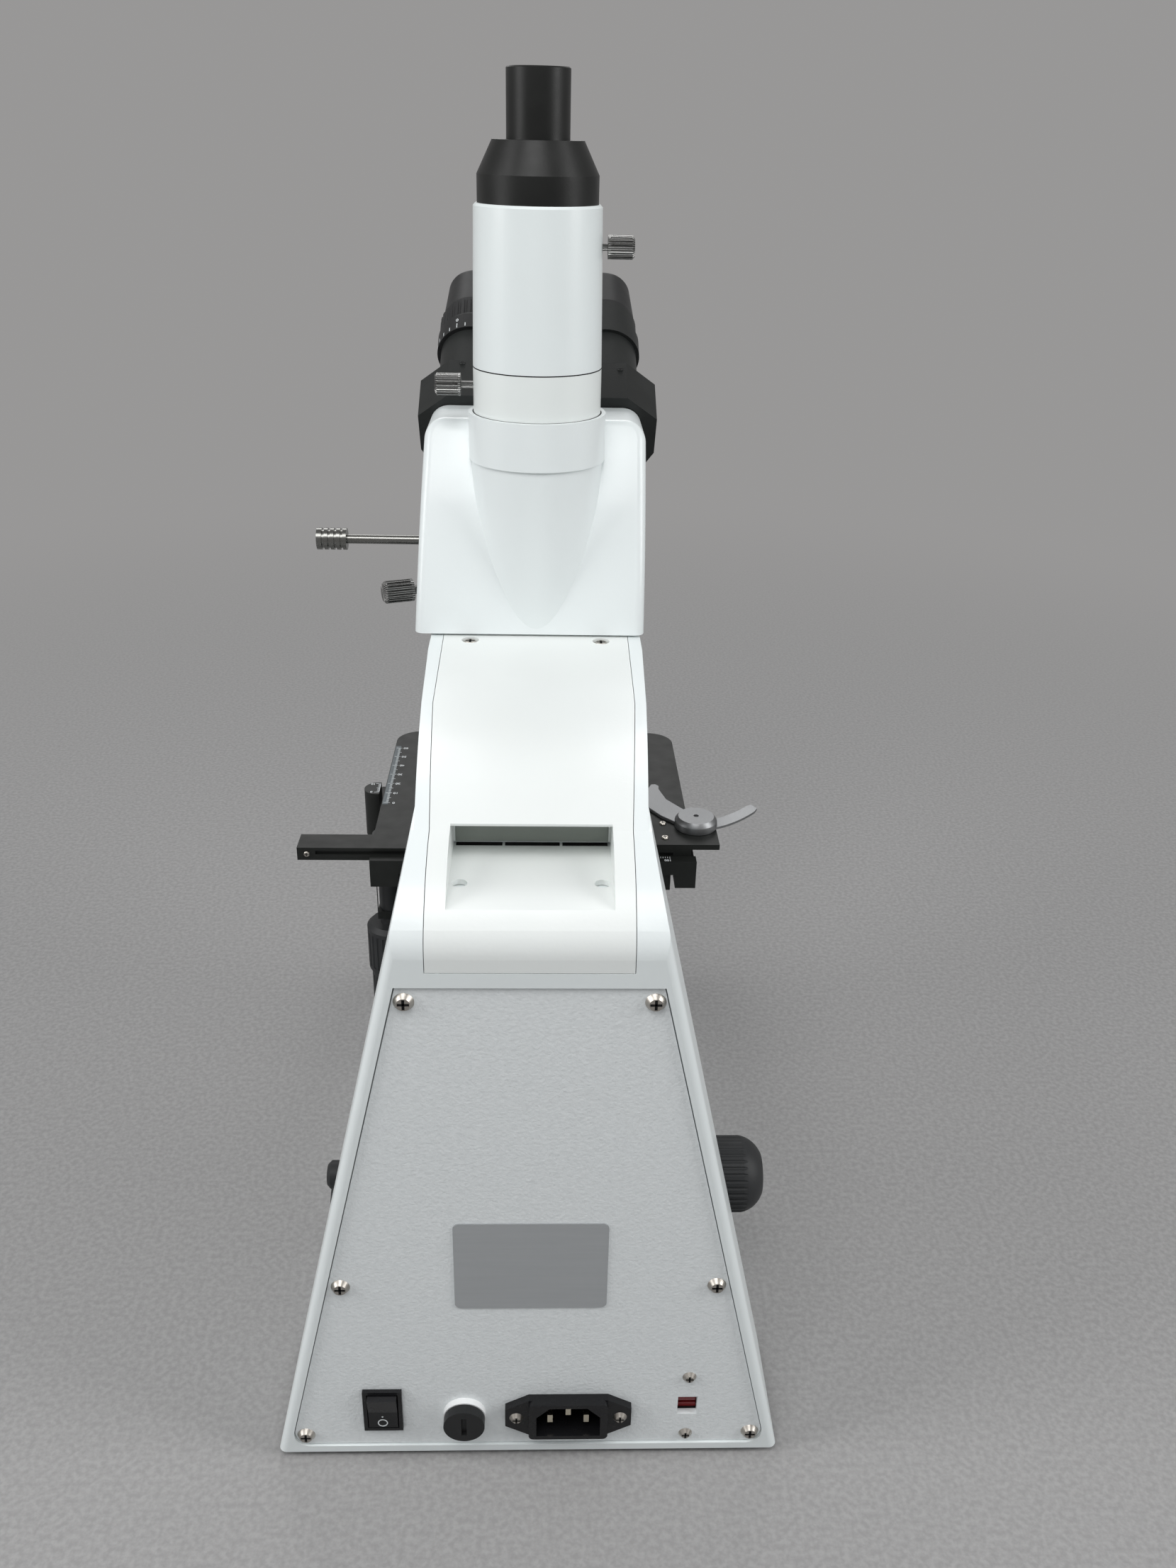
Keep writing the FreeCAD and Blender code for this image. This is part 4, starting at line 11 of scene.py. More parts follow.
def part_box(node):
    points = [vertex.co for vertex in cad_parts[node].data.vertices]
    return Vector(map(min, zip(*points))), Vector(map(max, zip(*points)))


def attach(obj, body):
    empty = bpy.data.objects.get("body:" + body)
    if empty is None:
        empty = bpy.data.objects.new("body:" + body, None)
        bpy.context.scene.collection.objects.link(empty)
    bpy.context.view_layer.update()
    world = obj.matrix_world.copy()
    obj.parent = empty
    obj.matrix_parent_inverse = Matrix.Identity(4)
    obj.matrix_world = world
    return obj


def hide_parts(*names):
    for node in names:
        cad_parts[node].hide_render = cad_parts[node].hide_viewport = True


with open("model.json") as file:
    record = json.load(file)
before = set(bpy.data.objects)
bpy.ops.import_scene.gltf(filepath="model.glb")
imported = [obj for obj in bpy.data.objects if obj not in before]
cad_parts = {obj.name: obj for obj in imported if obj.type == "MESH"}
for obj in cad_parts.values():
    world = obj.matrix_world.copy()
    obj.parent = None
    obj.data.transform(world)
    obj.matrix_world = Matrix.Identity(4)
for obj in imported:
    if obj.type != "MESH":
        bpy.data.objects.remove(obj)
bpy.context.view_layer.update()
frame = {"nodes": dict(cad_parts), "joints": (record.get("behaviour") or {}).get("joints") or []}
NODES = frame["nodes"]

MM = 0.001


def mm(*values):
    """A vector in metres from values in millimetres."""
    return Vector([value * MM for value in values])


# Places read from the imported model
STAGE_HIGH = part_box("stage_top_plate")[1]
BAR_LOW, BAR_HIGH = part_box("x_rack_bar")
HOLDER_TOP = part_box("holder_plate")[1].z
POST_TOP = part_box("stage_base_plate")[1].z
PANEL_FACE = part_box("rear_panel")[1].y
SLEEVE_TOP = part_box("tube_sleeve")[1].z
HEAD_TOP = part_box("head_box")[1].z

# Places that the part's own sizes set
BAR_LEDGE = 184 * MM
NOSEPIECE_PIVOT = mm(0, 23.475, 242.99)
TUBE_TILT = math.radians(30)
WING_HINGE = mm(0, -58, 324.8)
WING_X = 32 * MM
WING_V = 20.5 * MM
DIOPTER_SEAT = 55 * MM
DIOPTER_RADIUS = 17 * MM
EYE_LENS_SEAT = 97 * MM

# Printed marks: their thickness, and the height of the middle of a raised number above its face
PRINT = 0.08 * MM
NUMBER_RISE = 0.02 * MM

# Turn of the diopter ring's zero about its tube, in degrees
DIOPTER_FRONT = 66

# Colour of the background, red, green and blue
BACKGROUND = (0.315, 0.31, 0.308)


# Materials
class Shader:
    """A Principled material with short ways to add noise, colour change and bump."""

    def __init__(self, name, roughness, metallic=0.0, **sockets):
        self.material = bpy.data.materials.new(name)
        self.material.use_nodes = True
        self.tree = self.material.node_tree
        self.main = self.tree.nodes["Principled BSDF"]
        self.main.inputs["Roughness"].default_value = roughness
        self.main.inputs["Metallic"].default_value = metallic
        for socket, value in sockets.items():
            self.main.inputs[socket.replace("_", " ")].default_value = value
        self.place = self.tree.nodes.new("ShaderNodeTexCoord")

    def link(self, output, target):
        self.tree.links.new(output, target)

    def math(self, operation, first, second=None):
        """Output of a math node whose inputs are sockets or plain numbers."""
        node = self.tree.nodes.new("ShaderNodeMath")
        node.operation = operation
        for value, target in ((first, node.inputs[0]), (second, node.inputs[1])):
            if isinstance(value, (int, float)):
                target.default_value = value
            elif value is not None:
                self.link(value, target)
        return node.outputs[0]

    def noise(self, scale, detail=2.0, stretch=(1, 1, 1)):
        turn = self.tree.nodes.new("ShaderNodeMapping")
        turn.inputs["Scale"].default_value = stretch
        self.link(self.place.outputs["Object"], turn.inputs["Vector"])
        noise = self.tree.nodes.new("ShaderNodeTexNoise")
        noise.inputs["Scale"].default_value = scale
        noise.inputs["Detail"].default_value = detail
        self.link(turn.outputs["Vector"], noise.inputs["Vector"])
        return noise.outputs["Fac"]

    def colours(self, source, first, second, start=0.35, end=0.65):
        ramp = self.tree.nodes.new("ShaderNodeValToRGB")
        ramp.color_ramp.elements[0].position = start
        ramp.color_ramp.elements[0].color = (*first, 1)
        ramp.color_ramp.elements[1].position = end
        ramp.color_ramp.elements[1].color = (*second, 1)
        self.link(source, ramp.inputs["Fac"])
        self.link(ramp.outputs["Color"], self.main.inputs["Base Color"])

    def roughness(self, source, low, high):
        spread = self.tree.nodes.new("ShaderNodeMapRange")
        spread.inputs["To Min"].default_value = low
        spread.inputs["To Max"].default_value = high
        self.link(source, spread.inputs["Value"])
        self.link(spread.outputs["Result"], self.main.inputs["Roughness"])

    def bump(self, source, height, strength=1.0):
        bump = self.tree.nodes.new("ShaderNodeBump")
        bump.inputs["Distance"].default_value = height
        bump.inputs["Strength"].default_value = strength
        self.link(source, bump.inputs["Height"])
        self.link(bump.outputs["Normal"], self.main.inputs["Normal"])


def gloss_paint(name, light, dark, coat):
    """Sprayed paint on a casting: a slow change of tone and the faint ripple of the sprayed coat."""
    shader = Shader(name, 0.34, Coat_Weight=coat, Coat_Roughness=0.12)
    shader.colours(shader.noise(9, 3), dark, light)
    shader.roughness(shader.noise(60, 4), 0.28, 0.42)
    shader.bump(shader.noise(620, 3), 0.06 * MM, 0.5)
    return shader.material


def powder_coat(name, light, dark):
    """Textured coat on sheet metal: fine grains that catch the light."""
    shader = Shader(name, 0.5)
    shader.colours(shader.noise(480, 2), dark, light, 0.3, 0.7)
    shader.roughness(shader.noise(300, 2), 0.42, 0.6)
    shader.bump(shader.noise(900, 2), 0.3 * MM, 0.6)
    return shader.material


def black_coat(name, tone, roughness, grain):
    """Black enamel or moulded plastic with a fine grain and slightly rubbed, lighter patches."""
    shader = Shader(name, roughness, Specular_IOR_Level=0.32)
    rubbed = tuple(value * 1.5 + 0.002 for value in tone)
    shader.colours(shader.noise(34, 5), tone, rubbed, 0.42, 0.8)
    shader.roughness(shader.noise(140, 4), roughness - 0.07, roughness + 0.1)
    shader.bump(shader.noise(1500, 2), grain, 0.6)
    return shader.material


def plated(name, tone, low, high, stretch=(1, 1, 1)):
    """Bright or brushed metal with hairlines in one direction."""
    shader = Shader(name, low, metallic=1.0)
    shader.colours(shader.noise(26, 4), tone, tuple(min(1, value * 1.16) for value in tone))
    shader.roughness(shader.noise(420, 3, stretch), low, high)
    shader.bump(shader.noise(900, 2, stretch), 0.01 * MM, 0.4)
    return shader.material


def knurled(name, tone, centre, axis, count):
    """Plated metal cut with fine straight knurls round an axis through a point, with painted shade
    darkening the grooves between the knurls.
    """
    shader = Shader(name, 0.25, metallic=1.0)
    turn = Vector(axis).to_track_quat("Z", "Y").inverted()
    place = shader.tree.nodes.new("ShaderNodeMapping")
    place.inputs["Rotation"].default_value = turn.to_euler()
    place.inputs["Location"].default_value = turn @ -Vector(centre)
    shader.link(shader.place.outputs["Object"], place.inputs["Vector"])
    split = shader.tree.nodes.new("ShaderNodeSeparateXYZ")
    shader.link(place.outputs["Vector"], split.inputs["Vector"])
    angle = shader.math("ARCTAN2", split.outputs["Y"], split.outputs["X"])
    ridge_and_groove_shade = shader.math("SINE", shader.math("MULTIPLY", angle, count))
    # Painted shade: the grooves between the knurls are darkened to three tenths of the tone
    shader.colours(ridge_and_groove_shade, tuple(value * 0.3 for value in tone), tone, 0.1, 0.7)
    shader.roughness(shader.noise(420, 3), 0.22, 0.36)
    shader.bump(ridge_and_groove_shade, 0.4 * MM, 0.8)
    return shader.material


def plate_metal(name):
    """Pale rolled sheet with hairlines along X."""
    shader = Shader(name, 0.45, metallic=0.35)
    grain = shader.noise(700, 3, (0.05, 1, 1))
    shader.colours(grain, (0.42, 0.435, 0.445), (0.44, 0.455, 0.465), 0.3, 0.7)
    shader.roughness(shader.noise(300, 2), 0.4, 0.55)
    return shader.material


def rubber(name):
    """Matt black rubber with a fine grain."""
    shader = Shader(name, 0.8)
    shader.colours(shader.noise(200, 3), (0.012, 0.012, 0.013), (0.03, 0.03, 0.03))
    shader.bump(shader.noise(1100, 2), 0.08 * MM, 0.8)
    return shader.material


def lens_glass(name):
    """Coated optical glass with a faint bloom."""
    shader = Shader(name, 0.03, Transmission_Weight=0.85, IOR=1.5, Coat_Weight=0.6, Coat_Roughness=0.02)
    shader.colours(shader.noise(40, 1), (0.62, 0.72, 0.86), (0.78, 0.76, 0.9))
    return shader.material


def ink(name, tone):
    """Printed marking with slightly worn edges."""
    shader = Shader(name, 0.55)
    shader.colours(shader.noise(900, 3), tuple(value * 0.8 for value in tone), tone, 0.3, 0.55)
    return shader.material


def board_green(name):
    """Green lacquer of a circuit board."""
    shader = Shader(name, 0.45, Coat_Weight=0.3)
    shader.colours(shader.noise(120, 3), (0.02, 0.13, 0.06), (0.04, 0.2, 0.1))
    return shader.material


WHITE = gloss_paint("stand_paint", (0.8, 0.845, 0.845), (0.77, 0.815, 0.815), 0.25)
TUBE_WHITE = gloss_paint("tube_paint", (0.79, 0.84, 0.84), (0.77, 0.82, 0.815), 0.35)
SLEEVE_WHITE = gloss_paint("sleeve_paint", (0.8, 0.84, 0.825), (0.78, 0.815, 0.795), 0.3)
CREAM = gloss_paint("cover_paint", (0.815, 0.843, 0.83), (0.785, 0.812, 0.795), 0.05)
PANEL = powder_coat("panel_paint", (0.79, 0.82, 0.825), (0.74, 0.77, 0.775))
ENAMEL = black_coat("black_metal", (0.007, 0.0075, 0.007), 0.4, 0.03 * MM)
DECK = black_coat("stage_enamel", (0.008, 0.009, 0.008), 0.5, 0.05 * MM)
WING = black_coat("wing_enamel", (0.013, 0.0145, 0.014), 0.46, 0.06 * MM)
PLASTIC = black_coat("black_plastic", (0.012, 0.0125, 0.013), 0.42, 0.03 * MM)
KNOB_PLASTIC = black_coat("knob_plastic", (0.021, 0.022, 0.023), 0.5, 0.04 * MM)
GLOSSY = black_coat("glossy_plastic", (0.008, 0.008, 0.009), 0.25, 0.01 * MM)
CHROME = plated("objective_chrome", (0.36, 0.36, 0.35), 0.16, 0.28)
ROD_STEEL = plated("rod_steel", (0.21, 0.21, 0.2), 0.2, 0.32)
STEEL = plated("bright_steel", (0.4, 0.4, 0.39), 0.26, 0.4, (1, 12, 1))
SCREW = plated("plated_screws", (0.42, 0.395, 0.36), 0.28, 0.42)
SATIN = plated("satin_aluminium", (0.23, 0.235, 0.24), 0.38, 0.5, (10, 1, 1))
BRASS = plated("pin_brass", (0.62, 0.57, 0.46), 0.2, 0.32)
PLATE_METAL = plate_metal("plate_metal")
# Dark grey painted as the shade on the carry pocket's back wall
POCKET_SHADE = gloss_paint("pocket_painted_shade", (0.24, 0.26, 0.235), (0.2, 0.22, 0.195), 0.02)
# Near-black for painted shade in slits, seams and screw recesses
SHADE = black_coat("painted_shade_black", (0.004, 0.004, 0.004), 0.9, 0.01 * MM)
WHITE_PLASTIC = gloss_paint("white_plastic", (0.82, 0.83, 0.83), (0.78, 0.79, 0.79), 0.3)
RED = gloss_paint("red_plastic", (0.32, 0.025, 0.025), (0.22, 0.015, 0.018), 0.2)
RUBBER = rubber("foot_rubber")
GLASS = lens_glass("lens_glass")
GREEN = board_green("board_plastic")
INK = ink("white_ink", (0.72, 0.75, 0.76))
SCALE_STRIP = ink("scale_strip", (0.1, 0.12, 0.13))

FINISH = {
    WHITE: ("stand_casting", "head_box"),
    TUBE_WHITE: ("upper_tube",),
    SLEEVE_WHITE: ("tube_sleeve",),
    CREAM: ("handle_cover",),
    PANEL: ("rear_panel", "base_plate"),
    SCREW: ("case_screws", "fitting_screws"),
    GLOSSY: ("power_inlet", "switch_rocker", "switch_housing"),
    BRASS: ("inlet_pins",),
    WHITE_PLASTIC: ("fuse_holder",),
    PLASTIC: (
        "fuse_cap", "selector_body", "tension_ring", "condenser_knob", "eyepiece_right", "eyepiece_left",
        "diopter_ring",
    ),
    KNOB_PLASTIC: ("brightness_knob", "coarse_knobs", "fine_knobs", "y_knob", "x_knob"),
    RED: ("selector_slider",),
    RUBBER: ("feet",),
    ENAMEL: (
        "field_lens_ring", "focus_carrier", "condenser_carrier", "condenser_body", "iris_lever",
        "filter_holder", "turret", "camera_adapter",
    ),
    DECK: ("stage_base_plate", "stage_top_plate", "drive_housing", "x_rack_bar", "holder_plate"),
    WING: ("wing_right", "wing_left"),
    GLASS: ("field_lens", "condenser_lens"),
    SATIN: ("lamp_module", "nosepiece_mount", "slide_finger"),
    GREEN: ("power_board",),
    STEEL: ("coarse_shaft", "fine_shaft", "focus_rails"),
    CHROME: ("objective_4x", "objective_10x", "objective_40x", "objective_100x"),
    ROD_STEEL: ("light_path_rod",),
}

# Screws with knurled heads, and the joint that each turns on
KNURLED_SCREWS = {
    "thumbscrew_low": "low_thumbscrew_turn",
    "thumbscrew_high": "high_thumbscrew_turn",
    "head_lock_screw": "head_lock_turn",
}


def set_material(mesh, material):
    mesh.materials.clear()
    mesh.materials.append(material)


def dress_nodes():
    for material, names in FINISH.items():
        for name in names:
            set_material(NODES[name].data, material)


def joint(name):
    """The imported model's row for a joint."""
    return next(entry for entry in frame["joints"] if entry["name"] == name)


def dress_knurled_screws():
    for node, turning in KNURLED_SCREWS.items():
        entry = joint(turning)
        finish = knurled(f"{node}_finish", (0.46, 0.46, 0.45), entry["pos_m"], entry["axis"], 30)
        set_material(NODES[node].data, finish)


# Making pieces
def piece(name, mesh, body, material):
    """Puts a mesh in the scene as a piece that rides on a body and has the given material."""
    made = bpy.data.objects.new(name, mesh)
    bpy.context.scene.collection.objects.link(made)
    set_material(mesh, material)
    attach(made, body)
    return made


def mesh_from(name, build, place=None):
    """A mesh that the function builds in a bmesh, moved by the placement."""
    shape = bmesh.new()
    build(shape)
    mesh = bpy.data.meshes.new(name)
    shape.to_mesh(mesh)
    shape.free()
    if place is not None:
        mesh.transform(place)
    return mesh


def add_block(shape, low, high):
    """Adds a closed box between two corners to a bmesh."""
    made = bmesh.ops.create_cube(shape, size=1)
    bmesh.ops.scale(shape, vec=high - low, verts=made["verts"])
    bmesh.ops.translate(shape, vec=(low + high) / 2, verts=made["verts"])


def add_prism(shape, outline, low, high, bevel):
    """Adds an upright plate with a flat outline of X and Y points and a slightly rounded top rim."""
    foot = [shape.verts.new((x, y, low)) for x, y in outline]
    top = [shape.verts.new((x, y, high)) for x, y in outline]
    faces = [shape.faces.new(foot), shape.faces.new(top[::-1])]
    for index in range(len(outline)):
        after = (index + 1) % len(outline)
        faces.append(shape.faces.new((foot[index], top[index], top[after], foot[after])))
    bmesh.ops.recalc_face_normals(shape, faces=faces)
    rims = [edge for edge in shape.edges if all(v in top for v in edge.verts)]
    bmesh.ops.bevel(shape, geom=rims, offset=bevel, segments=2, affect="EDGES")


def add_turned(shape, profile, steps=48):
    """Adds a closed turned form about Z from points of radius and height, first and last on the axis."""
    turns = [2 * math.pi * step / steps for step in range(steps)]
    rings = []
    for radius, height in profile:
        angles = turns if radius else turns[:1]
        ring = [(radius * math.cos(angle), radius * math.sin(angle), height) for angle in angles]
        rings.append([shape.verts.new(point) for point in ring])
    for low, high in zip(rings, rings[1:]):
        for step in range(steps):
            after = (step + 1) % steps
            corners = (
                low[step % len(low)], low[after % len(low)],
                high[after % len(high)], high[step % len(high)],
            )
            shape.faces.new(list(dict.fromkeys(corners)))
    bmesh.ops.recalc_face_normals(shape, faces=shape.faces)


def add_band(shape, radius, low, high, thick, steps=64, start=0.0, turn=2 * math.pi):
    """Adds a thin closed band about Z, whole or over part of a turn."""
    whole = abs(turn - 2 * math.pi) < 1e-6
    count = steps if whole else steps + 1
    section = ((radius, low), (radius + thick, low), (radius + thick, high), (radius, high))
    loops = []
    for step in range(count):
        angle = start + turn * step / steps
        across, along = math.cos(angle), math.sin(angle)
        loops.append([shape.verts.new((r * across, r * along, z)) for r, z in section])
    pairs = list(zip(loops, loops[1:])) + ([(loops[-1], loops[0])] if whole else [])
    for first, second in pairs:
        for side in range(4):
            after = (side + 1) % 4
            shape.faces.new((first[side], first[after], second[after], second[side]))
    if not whole:
        shape.faces.new(loops[0][::-1])
        shape.faces.new(loops[-1])
    bmesh.ops.recalc_face_normals(shape, faces=shape.faces)


def number(name, words, height, place, body, material):
    """Flat raised lettering: its centre at the origin of the given placement, reading along its X."""
    curve = bpy.data.curves.new(name + "_curve", "FONT")
    curve.body = words
    curve.size = height
    curve.extrude = 0.04 * MM
    curve.offset = 0.04 * MM
    curve.align_x = "CENTER"
    curve.align_y = "CENTER"
    holder = bpy.data.objects.new(name + "_text", curve)
    mesh = bpy.data.meshes.new_from_object(holder)
    mesh.transform(place)
    bpy.data.objects.remove(holder)
    piece(name, mesh, body, material)


def smooth(made, angle=0.6):
    """Shades a piece smoothly, with creases where its faces meet at more than the angle in radians."""
    for face in made.data.polygons:
        face.use_smooth = True
    made.data.set_sharp_from_angle(angle=angle)


# Rear panel: a bare rating plate with rounded corners
def rating_plate():
    low, high = mm(-28.4, 0, 80), mm(27.4, 0, 121.6)
    corner = 2.4 * MM
    thick = 0.45 * MM
    rounding = 0.12 * MM
    centres = (
        (high.x - corner, high.z - corner, 0), (low.x + corner, high.z - corner, 90),
        (low.x + corner, low.z + corner, 180), (high.x - corner, low.z + corner, 270),
    )
    rim = []
    for x, z, start in centres:
        for step in range(7):
            angle = math.radians(start + 15 * step)
            rim.append((x + corner * math.cos(angle), -z - corner * math.sin(angle)))

    def build(shape):
        add_prism(shape, rim, PANEL_FACE, PANEL_FACE + thick, rounding)
    mesh = mesh_from("rating_plate", build, Matrix.Rotation(math.radians(-90), 4, "X"))
    piece("rating_plate", mesh, "stand", PLATE_METAL)


# Carry pocket: a grey sheet over its back wall and dark strips in the slit along the foot of that wall,
# both painted shade
def pocket_back():
    low, high = mm(-26.3, 172, 249.75), mm(26.3, 172.25, 261.8)

    def build(shape):
        add_block(shape, low, high)
        middle = (low.y + high.y) / 2
        rim = [edge for edge in shape.edges if all(v.co.y > middle for v in edge.verts)]
        bmesh.ops.bevel(shape, geom=rim, offset=0.1 * MM, segments=2, affect="EDGES")
    piece("pocket_back", mesh_from("pocket_back", build), "stand", POCKET_SHADE)


def pocket_slit():
    front, wall, foot = 167.1, 172.1, 248.0

    def build(shape):
        # Painted shade: near-black strips on the floor and at the end of the slit
        for left, right in ((-26.2, -10.5), (-9.6, 9.3), (10.2, 26.2)):
            add_block(shape, mm(left, front, foot), mm(right, wall, foot + 0.08))
            add_block(shape, mm(left, front, foot), mm(right, front + 0.2, foot + 1.5))
    piece("pocket_slit", mesh_from("pocket_slit", build), "stand", SHADE)


# Photo tube and head: thin dark bands painted as the shade in the gaps round the tube and round its sleeve
# A thin near-black band about the upright axis, painted shade in the gap between two parts
def shadow_ring(name, body, radius, low, high, thick):
    def build(shape):
        add_band(shape, radius, low, high, thick, 96)
    piece(name, mesh_from(name, build), body, SHADE)


def tube_seam():
    half = 0.22 * MM
    shadow_ring("tube_seam", "photo_tube", 26.55 * MM, SLEEVE_TOP - half, SLEEVE_TOP + half, 0.3 * MM)


def collar_gap():
    sunk, proud = 0.1 * MM, 0.04 * MM
    shadow_ring("collar_gap", "head", 26.75 * MM, HEAD_TOP - sunk, HEAD_TOP + proud, 0.55 * MM)


# Rocker: the off mark and a small dot
def rocker_marks():
    centre = mm(56.5, 222.33, 20.4)
    ring_radius, ring_line = 1.55 * MM, 0.4 * MM
    dot_radius, dot_drop = 0.35 * MM, 3.4 * MM

    def build(shape):
        add_band(shape, ring_radius, 0, PRINT, ring_line, 40)
        dot = bmesh.ops.create_circle(shape, cap_ends=True, radius=dot_radius, segments=16)
        bmesh.ops.translate(shape, vec=(0, -dot_drop, PRINT), verts=dot["verts"])
    place = Matrix.Translation(centre) @ Matrix.Rotation(math.radians(-90), 4, "X")
    piece("off_mark", mesh_from("off_mark", build, place), "rocker", INK)


# Screws: dark bars painted as the shade in the cross recesses of the panel and cover screws
def loose_parts(mesh):
    """Low and high corners of each separate solid of a mesh, in the order of their places."""
    shape = bmesh.new()
    shape.from_mesh(mesh)
    bmesh.ops.remove_doubles(shape, verts=shape.verts, dist=1e-6)
    waiting = set(shape.verts)
    corners = []
    while waiting:
        reached = [waiting.pop()]
        points = []
        while reached:
            vertex = reached.pop()
            points.append(vertex.co.copy())
            for edge in vertex.link_edges:
                other = edge.other_vert(vertex)
                if other in waiting:
                    waiting.discard(other)
                    reached.append(other)
        low = Vector([min(p[axis] for p in points) for axis in range(3)])
        high = Vector([max(p[axis] for p in points) for axis in range(3)])
        corners.append((low, high))
    shape.free()
    return sorted(corners, key=lambda pair: tuple(pair[0]))


def add_recess(shape, low, high):
    """Adds crossed dark bars, painted shade in the recess, to the head of a screw between two corners,
    which faces the rear or upwards.
    """
    size = high - low
    middle = (low + high) / 2
    arm, thin = size.x * 0.27, size.x * 0.055
    deep, shallow = 0.9 * MM, 0.12 * MM
    for wide, tall in ((arm, thin), (thin, arm)):
        if size.y > size.z:
            start = Vector((middle.x - wide, high.y - deep, middle.z - tall))
            end = Vector((middle.x + wide, high.y - shallow, middle.z + tall))
        else:
            start = Vector((middle.x - wide, middle.y - tall, high.z - deep))
            end = Vector((middle.x + wide, middle.y + tall, high.z - shallow))
        add_block(shape, start, end)


def screw_crosses():
    for node in ("case_screws", "fitting_screws"):
        def build(shape):
            for low, high in loose_parts(NODES[node].data):
                add_recess(shape, low, high)
        name = f"{node}_recess_shade"
        piece(name, mesh_from(name, build), "stand", SHADE)


# Stage: the Y scale along its edge, the vernier beside it and the X scale behind the bar
def tick_length(mark, tens, fives, ones):
    """Length of a scale's mark, from its lengths at the tens, the fives and between."""
    if mark % 10 == 0:
        return tens
    return fives if mark % 5 == 0 else ones


def stage_scale():
    top = STAGE_HIGH.z
    edge = STAGE_HIGH.x
    zero = 21.5 * MM
    pitch = 1.005 * MM
    half = 0.11 * MM
    overhang = 0.8 * MM
    strip_low = Vector((edge - 3 * MM, zero - 62.5 * pitch, top))
    strip_high = Vector((edge - 0.3 * MM, zero + 1.5 * pitch, top + PRINT))

    def strip(shape):
        add_block(shape, strip_low, strip_high)
    piece("scale_strip", mesh_from("scale_strip", strip), "stage_deck", SCALE_STRIP)

    def ticks(shape):
        for mark in range(61):
            y = zero - mark * pitch
            start = strip_low.x if mark % 5 else strip_low.x - overhang
            end = start + tick_length(mark, 3 * MM, 1.9 * MM, 1.1 * MM)
            low = Vector((start, y - half, top + 0.07 * MM))
            add_block(shape, low, Vector((end, y + half, top + 0.15 * MM)))
    piece("scale_ticks", mesh_from("scale_ticks", ticks), "stage_deck", INK)
    for mark in range(0, 61, 10):
        place = Matrix.Translation((edge - 5.5 * MM, zero - mark * pitch, top + NUMBER_RISE))
        number(f"scale_number_{mark}", str(mark), 2.4 * MM, place, "stage_deck", INK)


def vernier_scale():
    top = POST_TOP
    inner = 73.8 * MM
    zero = 11.6 * MM
    pitch = 0.9 * MM
    half = 0.1 * MM
    line = 0.3 * MM
    shift = 0.4 * MM

    def ticks(shape):
        for mark in range(11):
            y = zero - mark * pitch
            end = inner + tick_length(mark, 2.4 * MM, 1.7 * MM, 1.2 * MM)
            add_block(shape, Vector((inner, y - half, top)), Vector((end, y + half, top + PRINT)))
        line_low = Vector((inner, zero - 10 * pitch - half, top))
        add_block(shape, line_low, Vector((inner + line, zero + half, top + PRINT)))
    piece("vernier_ticks", mesh_from("vernier_ticks", ticks), "stage_carrier", INK)
    for mark, aside in ((0, -shift), (10, shift)):
        y = zero - mark * pitch + aside
        place = Matrix.Translation((inner + 3.7 * MM, y, top + NUMBER_RISE))
        number(f"vernier_number_{mark}", str(mark), 2.1 * MM, place, "stage_carrier", INK)


def bar_scale():
    lip = STAGE_HIGH.y
    foot = lip - 4.7 * MM
    first = -50.5 * MM
    half = 0.1 * MM

    def ticks(shape):
        for mark in range(1, 11):
            x = first - (mark - 1) * MM
            end = foot + tick_length(mark, 1.9 * MM, 1.9 * MM, 1.2 * MM)
            low = Vector((x - half, foot, BAR_LEDGE))
            add_block(shape, low, Vector((x + half, end, BAR_LEDGE + PRINT)))
    piece("bar_ticks", mesh_from("bar_ticks", ticks), "stage_deck", INK)
    place = Matrix.Translation((first - 8 * MM, lip - 1.7 * MM, BAR_LEDGE + NUMBER_RISE))
    number("bar_number_100", "100", 2.1 * MM, place, "stage_deck", INK)


# Small screws
def cap_screw(name, place, radius, body, material):
    """A low domed screw head with black crossed bars painted as the shade of a cross slot, standing along
    Z of its placement.
    """
    height = radius * 0.5
    profile = ((0, 0), (radius, 0), (radius, height * 0.45), (radius * 0.8, height * 0.9), (0, height))

    def head(shape):
        add_turned(shape, profile, 28)

    def cross(shape):
        for wide, tall in ((0.62, 0.13), (0.13, 0.62)):
            low = Vector((-wide * radius, -tall * radius, height * 0.86))
            add_block(shape, low, Vector((wide * radius, tall * radius, height * 1.03)))
    smooth(piece(name, mesh_from(name, head, place), body, material))
    # The crossed black bars stand on the dome as painted shade of its cross slot
    slot_shade_name = name + "_cross"
    piece(slot_shade_name, mesh_from(slot_shade_name, cross, place), body, PLASTIC)


def holder_screws():
    for index, y in enumerate((46.1, 59.4)):
        place = Matrix.Translation((-57.7 * MM, y * MM, HOLDER_TOP))
        cap_screw(f"holder_screw_{index}", place, 1.6 * MM, "slide_holder", SCREW)


def bar_screw():
    place = Matrix.Translation((BAR_HIGH.x - 4.2 * MM, BAR_HIGH.y, BAR_LOW.z + 3 * MM))
    place = place @ Matrix.Rotation(math.radians(-90), 4, "X")
    cap_screw("bar_screw", place, 1.3 * MM, "slide_holder", SCREW)


def wing_screws():
    """A small dark set screw on each wing's slope."""
    normal = Vector((0, math.sin(TUBE_TILT), math.cos(TUBE_TILT)))
    slope = normal.to_track_quat("Z", "Y").to_matrix().to_4x4()
    places = {"right_wing": mm(34.55, -56.14, 372.8), "left_wing": mm(-37.54, -53.97, 371.55)}
    for body, place in places.items():
        turned = Matrix.Translation(place) @ slope
        cap_screw(f"wing_screw_{body}", turned, 1.3 * MM, body, WING)


